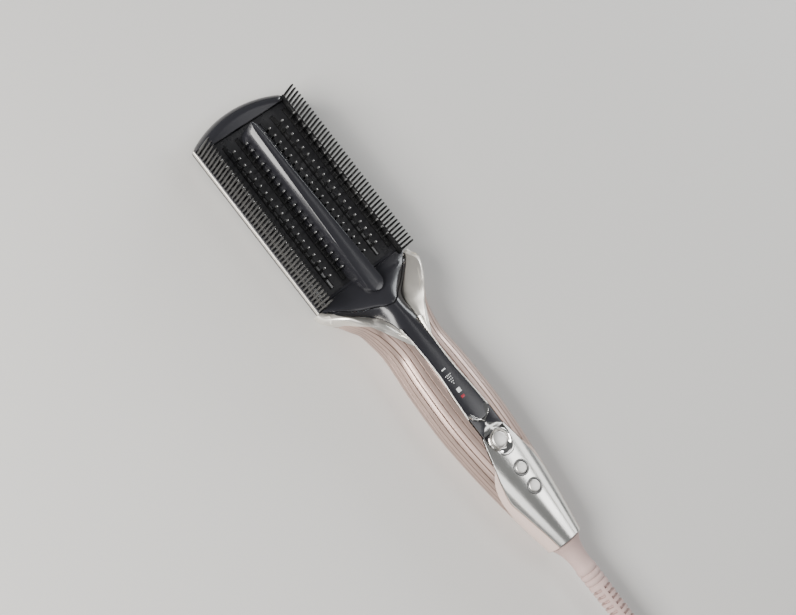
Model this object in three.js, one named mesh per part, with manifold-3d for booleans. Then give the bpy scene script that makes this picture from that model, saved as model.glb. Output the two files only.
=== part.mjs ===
// Hair straightening comb with an ultrasonic mist bar. Millimetres: X across, Y from tail to tip, Z up.
// The comb lies on its back with the teeth up, and the floor is Z = 0.
import * as THREE from "three";
import { mergeVertices } from "three/addons/utils/BufferGeometryUtils.js";
import Module from "manifold-3d";

const wasm = await Module();
wasm.setup();

// Clearances
const GAP = 0.3; // between pieces that touch on the real comb
const SEAM = 0.25; // between visible shell panels

// Head
const NECK_Y = 28; // where head and handle meet
const HEAD_LENGTH = 112;
const HEAD_HALF = 29.6; // half the width of the head
const TIP_RISE = 7; // height of the arc that ends the head
const COVER_TOP = 4.8; // top of the back cover
const COVER_WALL = 1.8;
const TRIM_HEIGHT = 2.4;
const FRAME_THICK = 1.2;
const CAP_HEIGHT = 6.6; // end cap, above the frame
const CAP_LENGTH = 10.7;
const PLATE_THICK = 2.2;
const HEAD_SCREW_EDGE = 9.1; // from a head screw to the side of the head
const HEAD_SCREW_INSET = 9.9; // from the neck end of the head
const TIP_SCREW_INSET = 13; // from the tip

// Combs and pins
const TOOTH_PITCH = 2.19;
const TOOTH_THICK = 1.25;
const TOOTH_DEPTH = 2;
const COMB_TIP_Z = 28.8;
const COMB_WALL = 1.1;
const COMB_WALL_TOP = 15.5;
const COMB_REACH = 2.3; // how far the combs reach behind the far edge of the shoulder plate
const COMB_INSET = 1.7; // from their far ends to the corners of the tip
const INNER_ROW_SPACE = 1.8; // from the bar to the middle of the inner row of pins
const OUTER_ROW_SPACE = 1.9; // from the comb to the middle of the outer row of pins
const PIN_TIP_Z = 19.2;
const PIN_SIZE = 1.5;
const PIN_STRIP_WIDTH = 2.2;
const PIN_STRIP_THICK = 0.8;

// Mist bar
const BAR_HALF = 6;
const BAR_TOP_Z = 21.6;
const BAR_NEAR = 8.5; // how far its round end reaches behind the neck line
const BAR_TIP_INSET = 13; // from its far end to the tip of the head
const BAR_CREST_NEAR = 5.2; // half width of its top face at the neck end
const BAR_CREST_FAR = 1.5;
const BAR_WALL = 1.6;
const OUTLET_COUNT = 6;
const OUTLET_LENGTH = 5;
const OUTLET_HEIGHT = 1.6;

// Handle
const HANDLE_LENGTH = 168;
const COLLAR_HALF = 33; // half the width across the collar's wings
const WAIST_HALF = 17.4;
const GRIP_HALF = 20.1;
const TAIL_HALF = 10.2;
const HANDLE_TOP = 25;
const CREST_TOP = 27; // top of the collar's wings
const AXIS_Z = 12.5;
const TAIL_TOP = 22.3;
const TAIL_BOTTOM = 2.7;
const SHELL_WALL = 2;
const COLLAR_WALL = 3.2;
const WING_WALL = 1.8;
const STRIP_HALF = 4.7; // half the width of the display strip at its narrowest
const RIM_WIDTH = 0.9; // bright rim beside the strip
const SEAM_ANGLE = -14; // where grips and back shell meet, in degrees round the section

// Controls, measured forwards from the tail
const POWER_FROM_TAIL = 62.4;
const UP_FROM_TAIL = 44.5;
const DOWN_FROM_TAIL = 33;
const POWER_RADIUS = 4.3;
const LEVEL_RADIUS = 3.3;
const RING_WIDTH = 0.55;
const BUTTON_PROUD = 0.3;
const BUTTON_TRAVEL = 0.6;
const SURROUND_HALF = 6.5;
const SURROUND_THICK = 1.8;
const BOARD_Z = 16.4; // underside of the button and display boards
const BOARD_THICK = 1.6;

// Inside the handle
const CHASSIS_Z = 6.6;
const CHASSIS_HALF = 8;
const CHASSIS_THICK = 1.4;
const CHASSIS_FROM_TAIL = 27;
const CHASSIS_FROM_NECK = 42;
const DRIVER_LENGTH = 19;
const TANK_HALF = 10;
const TANK_Z = 4.6;
const TANK_TOP = 11;
const TANK_LENGTH = 34;
const PLUG_Z = 5.9;
const PLUG_Y = 3;
const PLUG_STEM = 1.5;
const PLUG_FLANGE = 2.5;
const DISC_RADIUS = 7;

// Cord
const CORD_RADIUS = 3.2;
const BOOT_LENGTH = 60;
const BOOT_BASE = 8.4;
const BOOT_NECK = 5.2;
const BOOT_RIB = 5.65;
const BOOT_PITCH = 3.33;
const BOOT_SLOTS = 11;
const BOOT_TURN = 20; // degrees that its spine leans from the top
const COIL_OUTER = 38;
const COIL_PITCH = 7;
const COIL_LAYERS = 4;
const COIL_TURNS = 2; // in each layer

// Places that follow from the sizes
const TAIL_Y = NECK_Y - HANDLE_LENGTH;
const TIP_Y = NECK_Y + HEAD_LENGTH;
const HEAD_NEAR = NECK_Y + 0.6;
const TRIM_Z = COVER_TOP + GAP;
const FRAME_Z = TRIM_Z + TRIM_HEIGHT + GAP;
const FRAME_TOP = FRAME_Z + FRAME_THICK;
const PLATE_Z = FRAME_TOP + GAP;
const PLATE_TOP = PLATE_Z + PLATE_THICK;
const CAP_Y = TIP_Y - CAP_LENGTH;
const LIP_Y = NECK_Y + 3; // far edge of the shoulder plate
const BAR_Y0 = NECK_Y - BAR_NEAR;
const BAR_Y1 = TIP_Y - BAR_TIP_INSET;
const COMB_OUTER = HEAD_HALF - 0.3;
const COMB_INNER = COMB_OUTER - TOOTH_DEPTH - 0.5;
const INNER_ROW = BAR_HALF + INNER_ROW_SPACE;
const OUTER_ROW = COMB_INNER - OUTER_ROW_SPACE;
const PIN_ROWS = [INNER_ROW, (INNER_ROW + OUTER_ROW) / 2, OUTER_ROW];
const HEAD_SCREW_X = HEAD_HALF - HEAD_SCREW_EDGE;
const COMB_Y0 = LIP_Y - COMB_REACH;
const COMB_Y1 = TIP_Y - TIP_RISE - COMB_INSET;
const BOARD_TOP = BOARD_Z + BOARD_THICK;
const behind = (distance) => NECK_Y - distance;
const fromTail = (distance) => TAIL_Y + distance;

// A smooth line through points [position, value] that never overshoots them.
function curve(points) {
  const p = [...points].sort((a, b) => a[0] - b[0]);
  const slope = p.slice(1).map((q, i) => (q[1] - p[i][1]) / (q[0] - p[i][0]));
  const tangent = p.map((_, i) => {
    if (i === 0) return slope[0];
    if (i === p.length - 1) return slope[i - 1];
    const [a, b] = [slope[i - 1], slope[i]];
    return a * b <= 0 ? 0 : (2 * a * b) / (a + b);
  });
  return (x) => {
    if (x <= p[0][0]) return p[0][1];
    if (x >= p[p.length - 1][0]) return p[p.length - 1][1];
    const i = p.findIndex((q) => q[0] >= x) - 1;
    const h = p[i + 1][0] - p[i][0];
    const t = (x - p[i][0]) / h;
    const rise = p[i + 1][1] - p[i][1];
    const ease = rise * t * t * (3 - 2 * t);
    const start = tangent[i] * t * (1 - t) * (1 - t);
    const end = tangent[i + 1] * t * t * (1 - t);
    return p[i][1] + ease + h * (start - end);
  };
}

// The handle's skin: half width, top, widest height and bottom of its section, and how square its lower
// and upper halves are. At the neck its upper corners are the wings of the collar.
const halfWidth = curve([
  [behind(-3), HEAD_HALF + 1.6],
  [behind(1), COLLAR_HALF],
  [behind(4.3), COLLAR_HALF - 0.4],
  [behind(8.4), COLLAR_HALF - 3.2],
  [behind(12), COLLAR_HALF - 6],
  [behind(16.2), WAIST_HALF + 6.8],
  [behind(21.3), WAIST_HALF + 3.2],
  [behind(27.5), WAIST_HALF + 1.3],
  [behind(38), WAIST_HALF],
  [fromTail(106), GRIP_HALF - 0.8],
  [fromTail(82), GRIP_HALF],
  [fromTail(60), GRIP_HALF - 1.3],
  [fromTail(39), TAIL_HALF + 6.3],
  [fromTail(18), TAIL_HALF + 3.2],
  [fromTail(0), TAIL_HALF],
]);
const topZ = curve([
  [behind(-3), PLATE_TOP + 1.9],
  [behind(1), CREST_TOP - 11],
  [behind(4.3), CREST_TOP - 7],
  [behind(8.4), CREST_TOP - 2.8],
  [behind(12), CREST_TOP - 0.6],
  [behind(16.2), CREST_TOP],
  [behind(21.3), CREST_TOP],
  [behind(27.5), CREST_TOP - 1],
  [behind(36), CREST_TOP - 1.6],
  [behind(46), HANDLE_TOP],
  [fromTail(70), HANDLE_TOP],
  [fromTail(50), HANDLE_TOP - 0.5],
  [fromTail(20), TAIL_TOP + 1.1],
  [fromTail(0), TAIL_TOP],
]);
const widestZ = curve([
  [behind(-3), AXIS_Z - 4.3],
  [behind(1), AXIS_Z - 3.7],
  [behind(8.4), AXIS_Z - 0.4],
  [behind(14), AXIS_Z + 0.2],
  [behind(26), AXIS_Z],
]);
const bottomZ = curve([
  [fromTail(50), 0],
  [fromTail(28), TAIL_BOTTOM * 0.2],
  [fromTail(0), TAIL_BOTTOM],
]);
const squareness = curve([
  [behind(-3), 3.2],
  [behind(3), 2.4],
  [behind(8.4), 1.75],
  [behind(18), 1.8],
  [behind(28), 2.2],
  [fromTail(20), 2.1],
]);
const topSquareness = curve([
  [behind(-3), 3.2],
  [behind(4.3), 4.6],
  [behind(10), 7],
  [behind(17), 7],
  [behind(22), 5.6],
  [behind(27.5), 3.5],
  [behind(36), 2.7],
  [behind(46), 2.2],
  [fromTail(20), 2.1],
]);

// A point of the skin, or of the surface that lies the inset further in. The angle runs from +X to +Z.
function skin(y, angle, inset = 0) {
  const c = Math.cos(angle);
  const s = Math.sin(angle);
  const power = 2 / (s >= 0 ? topSquareness(y) : squareness(y));
  const height = s >= 0 ? topZ(y) - widestZ(y) : widestZ(y) - bottomZ(y);
  const x = (halfWidth(y) - inset) * Math.sign(c) * Math.abs(c) ** power;
  const z = widestZ(y) + (height - inset) * Math.sign(s) * Math.abs(s) ** power;
  return new THREE.Vector3(x, y, z);
}

// The angle, in the upper half of the section, where the skin stands at x.
function angleAt(y, x) {
  const share = Math.min(1, Math.abs(x) / halfWidth(y));
  const angle = Math.acos(share ** (topSquareness(y) / 2));
  return x >= 0 ? angle : Math.PI - angle;
}

const lerp = THREE.MathUtils.lerp;
const rad = THREE.MathUtils.degToRad;
const smooth = THREE.MathUtils.smoothstep;

// Solids: a closed geometry becomes a manifold-3d solid with its faces turned outwards.
function solid(geometry) {
  geometry.deleteAttribute("normal");
  geometry.deleteAttribute("uv");
  const merged = mergeVertices(geometry, 1e-4);
  const vertProperties = new Float32Array(merged.attributes.position.array);
  const triVerts = new Uint32Array(merged.index.array);
  const make = () => new wasm.Manifold(new wasm.Mesh({ numProp: 3, vertProperties, triVerts }));
  const made = make();
  if (made.volume() > 0) return made;
  for (let i = 0; i < triVerts.length; i += 3) {
    [triVerts[i + 1], triVerts[i + 2]] = [triVerts[i + 2], triVerts[i + 1]];
  }
  return make();
}

function faces(points, triangles) {
  const geometry = new THREE.BufferGeometry().setFromPoints(points);
  geometry.setIndex(triangles);
  return solid(geometry);
}

// Rings of points with the same count, joined in order and closed at both ends.
function loft(rings) {
  const n = rings[0].length;
  const triangles = [];
  for (let k = 0; k + 1 < rings.length; k++) {
    for (let i = 0; i < n; i++) {
      const a = k * n + i;
      const b = k * n + ((i + 1) % n);
      triangles.push(a, b, a + n, b, b + n, a + n);
    }
  }
  const flat = (ring) => ring.map((p) => new THREE.Vector2(p.x, p.y));
  const last = (rings.length - 1) * n;
  for (const [a, b, c] of THREE.ShapeUtils.triangulateShape(flat(rings[0]), [])) {
    triangles.push(a, c, b);
  }
  for (const [a, b, c] of THREE.ShapeUtils.triangulateShape(flat(rings[rings.length - 1]), [])) {
    triangles.push(last + a, last + b, last + c);
  }
  return faces(rings.flat(), triangles);
}

// Levels [height, inset] of an outline that shrinks by the inset.
function tower(outline, levels) {
  return loft(levels.map(([z, inset]) => outline(inset).map(([x, y]) => new THREE.Vector3(x, y, z))));
}

// A curved shell: an outer grid of points, an inner one, and edges between.
function shell(across, along, outer, inner) {
  const row = along + 1;
  const count = (across + 1) * row;
  const points = [];
  for (const place of [outer, inner]) {
    for (let i = 0; i <= across; i++) {
      for (let j = 0; j <= along; j++) points.push(place(i / across, j / along));
    }
  }
  const triangles = [];
  const quad = (a, b, c, d) => triangles.push(a, b, c, a, c, d);
  for (let i = 0; i < across; i++) {
    for (let j = 0; j < along; j++) {
      const a = i * row + j;
      quad(a, a + row, a + row + 1, a + 1);
      quad(count + a, count + a + 1, count + a + row + 1, count + a + row);
    }
  }
  for (let i = 0; i < across; i++) {
    const low = i * row;
    const high = low + along;
    quad(low, low + count, low + row + count, low + row);
    quad(high, high + row, high + row + count, high + count);
  }
  for (let j = 0; j < along; j++) {
    const end = across * row + j;
    quad(j, j + 1, j + 1 + count, j + count);
    quad(end, end + count, end + 1 + count, end + 1);
  }
  return faces(points, triangles);
}

// A shell on the skin, or lifted off it, with its wall towards the axis.
function panel(across, along, wall, place, lift = 0) {
  const at = (inset) => (s, t) => {
    const { y, angle } = place(s, t);
    return skin(y, angle, inset);
  };
  return shell(across, along, at(-lift), at(wall));
}

// A shell over a plan: its wall hangs straight down from the roof.
function roofPanel(across, along, wall, place) {
  const at = (drop) => (s, t) => {
    const [x, y] = place(s, t);
    return new THREE.Vector3(x, y, roof(y, x) - drop);
  };
  return shell(across, along, at(0), at(wall));
}

function block(x0, x1, y0, y1, z0, z1) {
  const box = new THREE.BoxGeometry(x1 - x0, y1 - y0, z1 - z0);
  return solid(box.translate((x0 + x1) / 2, (y0 + y1) / 2, (z0 + z1) / 2));
}

// A block whose top is smaller than its foot.
function spike(x, y, halfX, halfY, tipX, tipY, z0, z1) {
  const ring = (dx, dy, z) => [
    new THREE.Vector3(x - dx, y - dy, z),
    new THREE.Vector3(x + dx, y - dy, z),
    new THREE.Vector3(x + dx, y + dy, z),
    new THREE.Vector3(x - dx, y + dy, z),
  ];
  return loft([ring(halfX, halfY, z0), ring(tipX, tipY, z1)]);
}

function post(radius, x, y, z0, z1, sides = 16) {
  const geometry = new THREE.CylinderGeometry(radius, radius, z1 - z0, sides);
  return solid(geometry.rotateX(Math.PI / 2).translate(x, y, (z0 + z1) / 2));
}

// A turned shape along Y: pairs [radius, y], closed on the axis.
function turned(profile, x, z, sides = 12) {
  const points = profile.map(([radius, y]) => new THREE.Vector2(radius, y));
  return solid(new THREE.LatheGeometry(points, sides).translate(x, 0, z));
}

function prism(points, z0, z1) {
  const shape = new THREE.Shape(points.map(([x, y]) => new THREE.Vector2(x, y)));
  const geometry = new THREE.ExtrudeGeometry(shape, { depth: z1 - z0, bevelEnabled: false });
  return solid(geometry.translate(0, 0, z0));
}

const join = (...solids) => solids.reduce((all, one) => all.add(one));
const largest = (made) => made.decompose().reduce((a, b) => (a.volume() > b.volume() ? a : b));
const range = (count, make) => Array.from({ length: count }, (_, i) => make(i));

// Finishes as colour, roughness and metalness
const FINISH = {
  gloss_black: [0x0c0c0e, 0.12, 0],
  satin_silver: [0xc8c2b8, 0.34, 0.85],
  rose_gold: [0xc3a095, 0.42, 0.45],
  pale_rose: [0xd2b9ae, 0.3, 0.35],
  chrome: [0xe8e4de, 0.08, 1],
  button_silver: [0xd6d1c9, 0.22, 0.9],
  ring_grey: [0x8d8a86, 0.35, 0.6],
  dusty_pink: [0xb9a09a, 0.6, 0],
  bright_pin: [0xdcdad6, 0.2, 0.9],
  heated_plate: [0x1c1b1d, 0.3, 0.3],
  dark_plastic: [0x2a2a2c, 0.5, 0],
  clear_plastic: [0xbfd0d6, 0.15, 0],
  board_green: [0x2f5d3c, 0.5, 0],
  ceramic: [0xe4e0d4, 0.6, 0],
  insulation: [0xcfc4a4, 0.8, 0],
  steel: [0xa9a9a6, 0.3, 0.9],
  silicone: [0x4a4a4c, 0.7, 0],
  brass: [0xb99a55, 0.3, 0.9],
};

const comb = new THREE.Group();

function add(name, finish, made) {
  const mesh = made.getMesh();
  const geometry = new THREE.BufferGeometry();
  geometry.setAttribute("position", new THREE.BufferAttribute(mesh.vertProperties, 3));
  geometry.setIndex(new THREE.BufferAttribute(mesh.triVerts, 1));
  const [color, roughness, metalness] = FINISH[finish];
  const material = new THREE.MeshStandardMaterial({ color, roughness, metalness });
  const piece = new THREE.Mesh(geometry, material);
  piece.name = name;
  comb.add(piece);
}

// Outline of the head: straight sides and an arc at the tip.
function headOutline(inset) {
  const half = HEAD_HALF - inset;
  const radius = (HEAD_HALF ** 2 + TIP_RISE ** 2) / (2 * TIP_RISE) - inset;
  const arc = (x) => TIP_Y - inset - radius + Math.sqrt(radius ** 2 - x ** 2);
  const steps = 10;
  const tip = range(steps + 1, (i) => lerp(half, -half, i / steps)).map((x) => [x, arc(x)]);
  return [[-half, HEAD_NEAR + inset], [half, HEAD_NEAR + inset], ...tip];
}

const headScrews = [
  [-HEAD_SCREW_X, HEAD_NEAR + HEAD_SCREW_INSET],
  [HEAD_SCREW_X, HEAD_NEAR + HEAD_SCREW_INSET],
  [-HEAD_SCREW_X, TIP_Y - TIP_SCREW_INSET],
  [HEAD_SCREW_X, TIP_Y - TIP_SCREW_INSET],
];
const SCREW_SHANK = 1.1;
const SCREW_HEAD = 2.2;
const SCREW_HEAD_Z = 0.6;
const SCREW_HEAD_HEIGHT = 1.2;

function screw(x, y, seat, end) {
  const head = post(SCREW_HEAD, x, y, seat, seat + SCREW_HEAD_HEIGHT, 12);
  return head.add(post(SCREW_SHANK, x, y, seat + SCREW_HEAD_HEIGHT / 2, end, 10));
}

// Cover with a screw well: a boss round a wide recess for the head and a narrow hole for the shank.
function screwWell(cover, x, y, floor, top) {
  const seat = SCREW_HEAD_Z + SCREW_HEAD_HEIGHT + GAP;
  return cover
    .add(post(SCREW_HEAD + 1.4, x, y, floor, top))
    .subtract(post(SCREW_HEAD + GAP, x, y, -1, seat))
    .subtract(post(SCREW_SHANK + GAP, x, y, seat - 0.5, top + 1));
}

const WELL_TOP = 3.6;

function backCover() {
  const outer = tower(headOutline, [[0, 5.6], [0.7, 3], [2, 1.3], [4, 0.35], [COVER_TOP, 0]]);
  const inner = tower(headOutline, [
    [COVER_WALL, 6.8],
    [COVER_WALL + 1.2, 4],
    [COVER_WALL + 2.4, COVER_WALL + 0.4],
    [COVER_TOP + 1, COVER_WALL],
  ]);
  const window = block(-16, 16, NECK_Y - 1, HEAD_NEAR + 9, COVER_WALL, COVER_TOP + 1);
  const hollow = outer.subtract(inner).subtract(window);
  return headScrews.reduce((c, [x, y]) => screwWell(c, x, y, COVER_WALL - 0.5, WELL_TOP), hollow);
}

const TRIM_INSET = 1.6;

function headTrim() {
  const outer = tower(headOutline, [[TRIM_Z, 0], [TRIM_Z + TRIM_HEIGHT, 0]]);
  return outer.subtract(tower(headOutline, [[TRIM_Z - 1, TRIM_INSET], [FRAME_Z, TRIM_INSET]]));
}

// The black funnel and strip: half width, and height of the crown and of the edges.
const funnelHalf = curve([
  [behind(-0.4), HEAD_HALF],
  [behind(1.3), 29.1],
  [behind(5), 25.4],
  [behind(11), 18.3],
  [behind(16.2), 11.8],
  [behind(21.3), 8.6],
  [behind(27.5), 7],
  [behind(34), 6.1],
  [behind(42), STRIP_HALF + 0.4],
  [behind(54), STRIP_HALF],
  [fromTail(105), STRIP_HALF + 0.1],
  [fromTail(95), STRIP_HALF + 1],
  [fromTail(80), STRIP_HALF + 1.9],
]);
const crownZ = curve([
  [behind(-3), PLATE_TOP + 2.9],
  [behind(1), HANDLE_TOP - 8.8],
  [behind(8), HANDLE_TOP - 5.1],
  [behind(18), HANDLE_TOP - 0.9],
  [behind(28), HANDLE_TOP],
]);
const funnelZ = curve([
  [behind(-3), PLATE_TOP - 0.2],
  [behind(1.3), PLATE_TOP],
  [behind(5), HANDLE_TOP - 11.4],
  [behind(11), HANDLE_TOP - 10.6],
  [behind(16.2), HANDLE_TOP - 9.7],
  [behind(21.3), HANDLE_TOP - 6.2],
  [behind(27.5), HANDLE_TOP - 2.7],
  [behind(36), HANDLE_TOP - 1],
]);

// Height of the funnel, strip and shoulder plate: on the skin along the handle, sunk at the neck.
function roof(y, x) {
  const share = Math.min(1, Math.abs(x) / funnelHalf(y));
  const sunk = lerp(crownZ(y), funnelZ(y), share ** 2.2);
  return lerp(skin(y, angleAt(y, x)).z, sunk, smooth(y, behind(50), behind(36)));
}

// Where the grips begin: half width along the strip, then an angle round the section at the neck.
const gripEdge = curve([
  [behind(42), STRIP_HALF + 0.4 + RIM_WIDTH],
  [behind(54), STRIP_HALF + RIM_WIDTH],
  [fromTail(105), STRIP_HALF + RIM_WIDTH + 0.1],
  [fromTail(95), STRIP_HALF + RIM_WIDTH + 1],
  [fromTail(80), STRIP_HALF + RIM_WIDTH + 1.9],
]);
const NECK_ANGLES_Y = behind(42);
const neckAngle = curve([
  [behind(9), -5],
  [behind(12.6), 2],
  [behind(15.7), 12],
  [behind(18.4), 27],
  [behind(20.8), 38],
  [behind(23.9), 44],
  [behind(28.5), 51],
  [behind(32.6), 58],
  [behind(36.7), 64],
  [NECK_ANGLES_Y, THREE.MathUtils.radToDeg(angleAt(NECK_ANGLES_Y, gripEdge(NECK_ANGLES_Y) + SEAM))],
]);
const gripAngle = (y) => (y > NECK_ANGLES_Y ? rad(neckAngle(y)) : angleAt(y, gripEdge(y) + SEAM));
const plateHalf = curve([
  [fromTail(70), SURROUND_HALF + 0.8],
  [fromTail(63), SURROUND_HALF + 2.6],
  [fromTail(51.5), SURROUND_HALF + 5.2],
  [fromTail(43.5), SURROUND_HALF + 6.9],
  [fromTail(33.5), SURROUND_HALF + 7.8],
  [fromTail(28), SURROUND_HALF + 6.9],
  [fromTail(18), SURROUND_HALF + 4.9],
  [fromTail(8), SURROUND_HALF + 2.9],
  [fromTail(0), SURROUND_HALF + 1.5],
]);
// The seam between shoulder plate and funnel: y at a distance from the middle.
const shoulderEdge = curve([
  [0, behind(18.2)],
  [4, behind(17)],
  [7.6, behind(14.7)],
  [14.9, behind(11)],
  [22, behind(5.6)],
  [HEAD_HALF, behind(-0.4)],
]);

const BOSS_RADIUS = 2.8;
const barOutlineAt = (level, grow) => {
  const near = BAR_Y0 - grow;
  const far = BAR_Y1 + grow;
  const round = 6;
  const side = [];
  const steps = [0, 0.02, 0.15, 0.4, 0.7, 1];
  const ends = (t) => Math.sqrt(1 - (1 - t) ** 2);
  for (const t of steps) side.push([near + t * round, ends(t)]);
  for (const t of [...steps].reverse()) side.push([far - t * round, ends(t)]);
  const widthAt = (y) => {
    const crest = lerp(BAR_CREST_NEAR, BAR_CREST_FAR, (y - near) / (far - near));
    return lerp(BAR_HALF, crest, level) + grow;
  };
  const right = side.map(([y, share]) => [widthAt(y) * Math.max(share, 0.1), y]);
  return [...right, ...[...right].reverse().map(([x, y]) => [-x, y])];
};

function barBody(grow, z0, z1) {
  const at = (level, z) => barOutlineAt(level, grow).map(([x, y]) => new THREE.Vector3(x, y, z));
  const height = z1 - z0;
  return loft([at(0, z0), at(0.12, z0 + height * 0.55), at(0.6, z1 - 1.6), at(1, z1 - 0.3), at(1.08, z1)]);
}

function mistBar() {
  const z0 = PLATE_TOP + GAP;
  const inner = BAR_HALF - BAR_WALL - 1;
  const hollow = block(-inner, inner, BAR_Y0 + 8, BAR_Y1 - 8, z0 - 1, BAR_TOP_Z - 5);
  const inlet = block(-2.6, 2.6, BAR_Y0 - 1, BAR_Y0 + 9, z0 + 1, BAR_TOP_Z - 5);
  const first = LIP_Y + 8;
  const step = (BAR_Y1 - 10 - first - OUTLET_LENGTH) / (OUTLET_COUNT - 1);
  const outlets = range(OUTLET_COUNT, (i) => {
    const y = first + i * step;
    const z = z0 + 1;
    return block(-BAR_HALF - 1, BAR_HALF + 1, y, y + OUTLET_LENGTH, z, z + OUTLET_HEIGHT);
  });
  return barBody(0, z0, BAR_TOP_Z).subtract(hollow).subtract(inlet).subtract(join(...outlets));
}

function frontFrame() {
  const rim = tower(headOutline, [[FRAME_Z, 0], [FRAME_TOP, 0]]);
  const [near, far] = [headScrews[0][1] + BOSS_RADIUS + 1, headScrews[2][1] - BOSS_RADIUS - 1];
  const openHalf = HEAD_SCREW_X + 2;
  const opening = block(-openHalf, openHalf, near, far, FRAME_Z - 1, FRAME_TOP + 1);
  const shoulder = roofPanel(14, 4, SHELL_WALL, (s, t) => {
    const x = (2 * s - 1) * (HEAD_HALF - 0.5);
    return [x, lerp(shoulderEdge(Math.abs(x)) + SEAM, LIP_Y, t)];
  });
  const lip = roof(LIP_Y, HEAD_HALF - 3.2) - 0.6;
  const bulkhead = block(3.2 - HEAD_HALF, HEAD_HALF - 3.2, HEAD_NEAR + GAP, LIP_Y, FRAME_Z, lip);
  const inset = (share) => 7 * (1 - Math.sqrt(1 - share ** 2));
  const dome = tower(
    headOutline,
    [0, 0.35, 0.65, 0.85, 0.96, 1].map((share) => [FRAME_Z + 0.2 + share * CAP_HEIGHT, inset(share)]),
  );
  const cap = dome.intersect(block(-HEAD_HALF, HEAD_HALF, CAP_Y, TIP_Y + 1, FRAME_Z, FRAME_Z + 20));
  const combSpace = (side) => {
    const [a, b] = [side * (COMB_INNER - GAP), side * (HEAD_HALF + 1)];
    return block(Math.min(a, b), Math.max(a, b), COMB_Y0 - GAP, COMB_Y1 + GAP, FRAME_TOP, COMB_TIP_Z);
  };
  const bosses = headScrews.map(([x, y]) => post(BOSS_RADIUS, x, y, WELL_TOP + GAP, FRAME_Z + 0.2));
  const holes = headScrews.map(([x, y]) => post(SCREW_SHANK + GAP, x, y, 0, FRAME_Z + 0.2, 10));
  const hollowHalf = HEAD_SCREW_X - 0.5;
  const capHollow = block(-hollowHalf, hollowHalf, CAP_Y + 2, TIP_Y - 5, FRAME_Z - 1, FRAME_TOP + 2);
  return join(rim.subtract(opening), bulkhead, cap, ...bosses)
    .add(shoulder)
    .subtract(combSpace(-1))
    .subtract(combSpace(1))
    .subtract(capHollow)
    .subtract(join(...holes))
    .subtract(barBody(GAP, PLATE_TOP, BAR_TOP_Z + 5));
}

function sideComb(side) {
  const inner = side * COMB_INNER;
  const wallOuter = side * (COMB_INNER + COMB_WALL);
  const wall = block(
    Math.min(inner, wallOuter),
    Math.max(inner, wallOuter),
    COMB_Y0,
    COMB_Y1,
    PLATE_Z,
    COMB_WALL_TOP,
  );
  const centre = side * (COMB_OUTER - TOOTH_DEPTH / 2);
  const half = TOOTH_DEPTH / 2;
  const thick = TOOTH_THICK / 2;
  const run = COMB_Y1 - COMB_Y0 - TOOTH_THICK;
  const count = Math.floor(run / TOOTH_PITCH) + 1;
  const first = COMB_Y0 + thick + (run - (count - 1) * TOOTH_PITCH) / 2;
  const teeth = range(count, (i) => {
    const y = first + i * TOOTH_PITCH;
    return spike(centre, y, half, thick, half * 0.7, thick * 0.75, PLATE_Z, COMB_TIP_Z);
  });
  return join(wall, ...teeth);
}

const PIN_PITCH = 2 * TOOTH_PITCH;
const PIN_Y0 = LIP_Y + 9.7;
const PIN_Y1 = CAP_Y - 9.3;

function pinStrip(x) {
  const z0 = PLATE_TOP - PIN_STRIP_THICK + GAP;
  const half = PIN_STRIP_WIDTH / 2;
  const strip = block(x - half, x + half, LIP_Y + 4, CAP_Y - 4, z0, z0 + PIN_STRIP_THICK);
  const count = Math.floor((PIN_Y1 - PIN_Y0) / PIN_PITCH) + 1;
  const foot = PIN_SIZE / 2;
  const pins = range(count, (i) => {
    const y = PIN_Y0 + i * PIN_PITCH;
    return spike(x, y, foot, foot, foot * 0.55, foot * 0.55, z0 + 0.2, PIN_TIP_Z);
  });
  return join(strip, ...pins);
}

function heatPlate() {
  const half = COMB_INNER - GAP;
  const plate = block(-half, half, LIP_Y + GAP, CAP_Y - GAP, PLATE_Z, PLATE_TOP);
  const grooves = PIN_ROWS.flatMap((x) => [-x, x]).map((x) => {
    const wide = PIN_STRIP_WIDTH / 2 + GAP;
    const ends = [LIP_Y + 4 - GAP, CAP_Y - 4 + GAP];
    return block(x - wide, x + wide, ...ends, PLATE_TOP - PIN_STRIP_THICK, PLATE_TOP + 1);
  });
  return plate.subtract(join(...grooves));
}

// Head, from the back cover up
const HEATER_THICK = 2.4;
const HEATER_Y0 = headScrews[0][1] + 5;
const HEATER_Y1 = headScrews[2][1] - 14;
const HEATER_Z = PLATE_Z - GAP - HEATER_THICK;
const HEATER_HALF = HEAD_SCREW_X + 1; // outer sides of both heaters, from the middle
const HEATER_INNER = 3;
const FUSE_RADIUS = 1.3;
const FUSE_LENGTH = 7;

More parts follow.
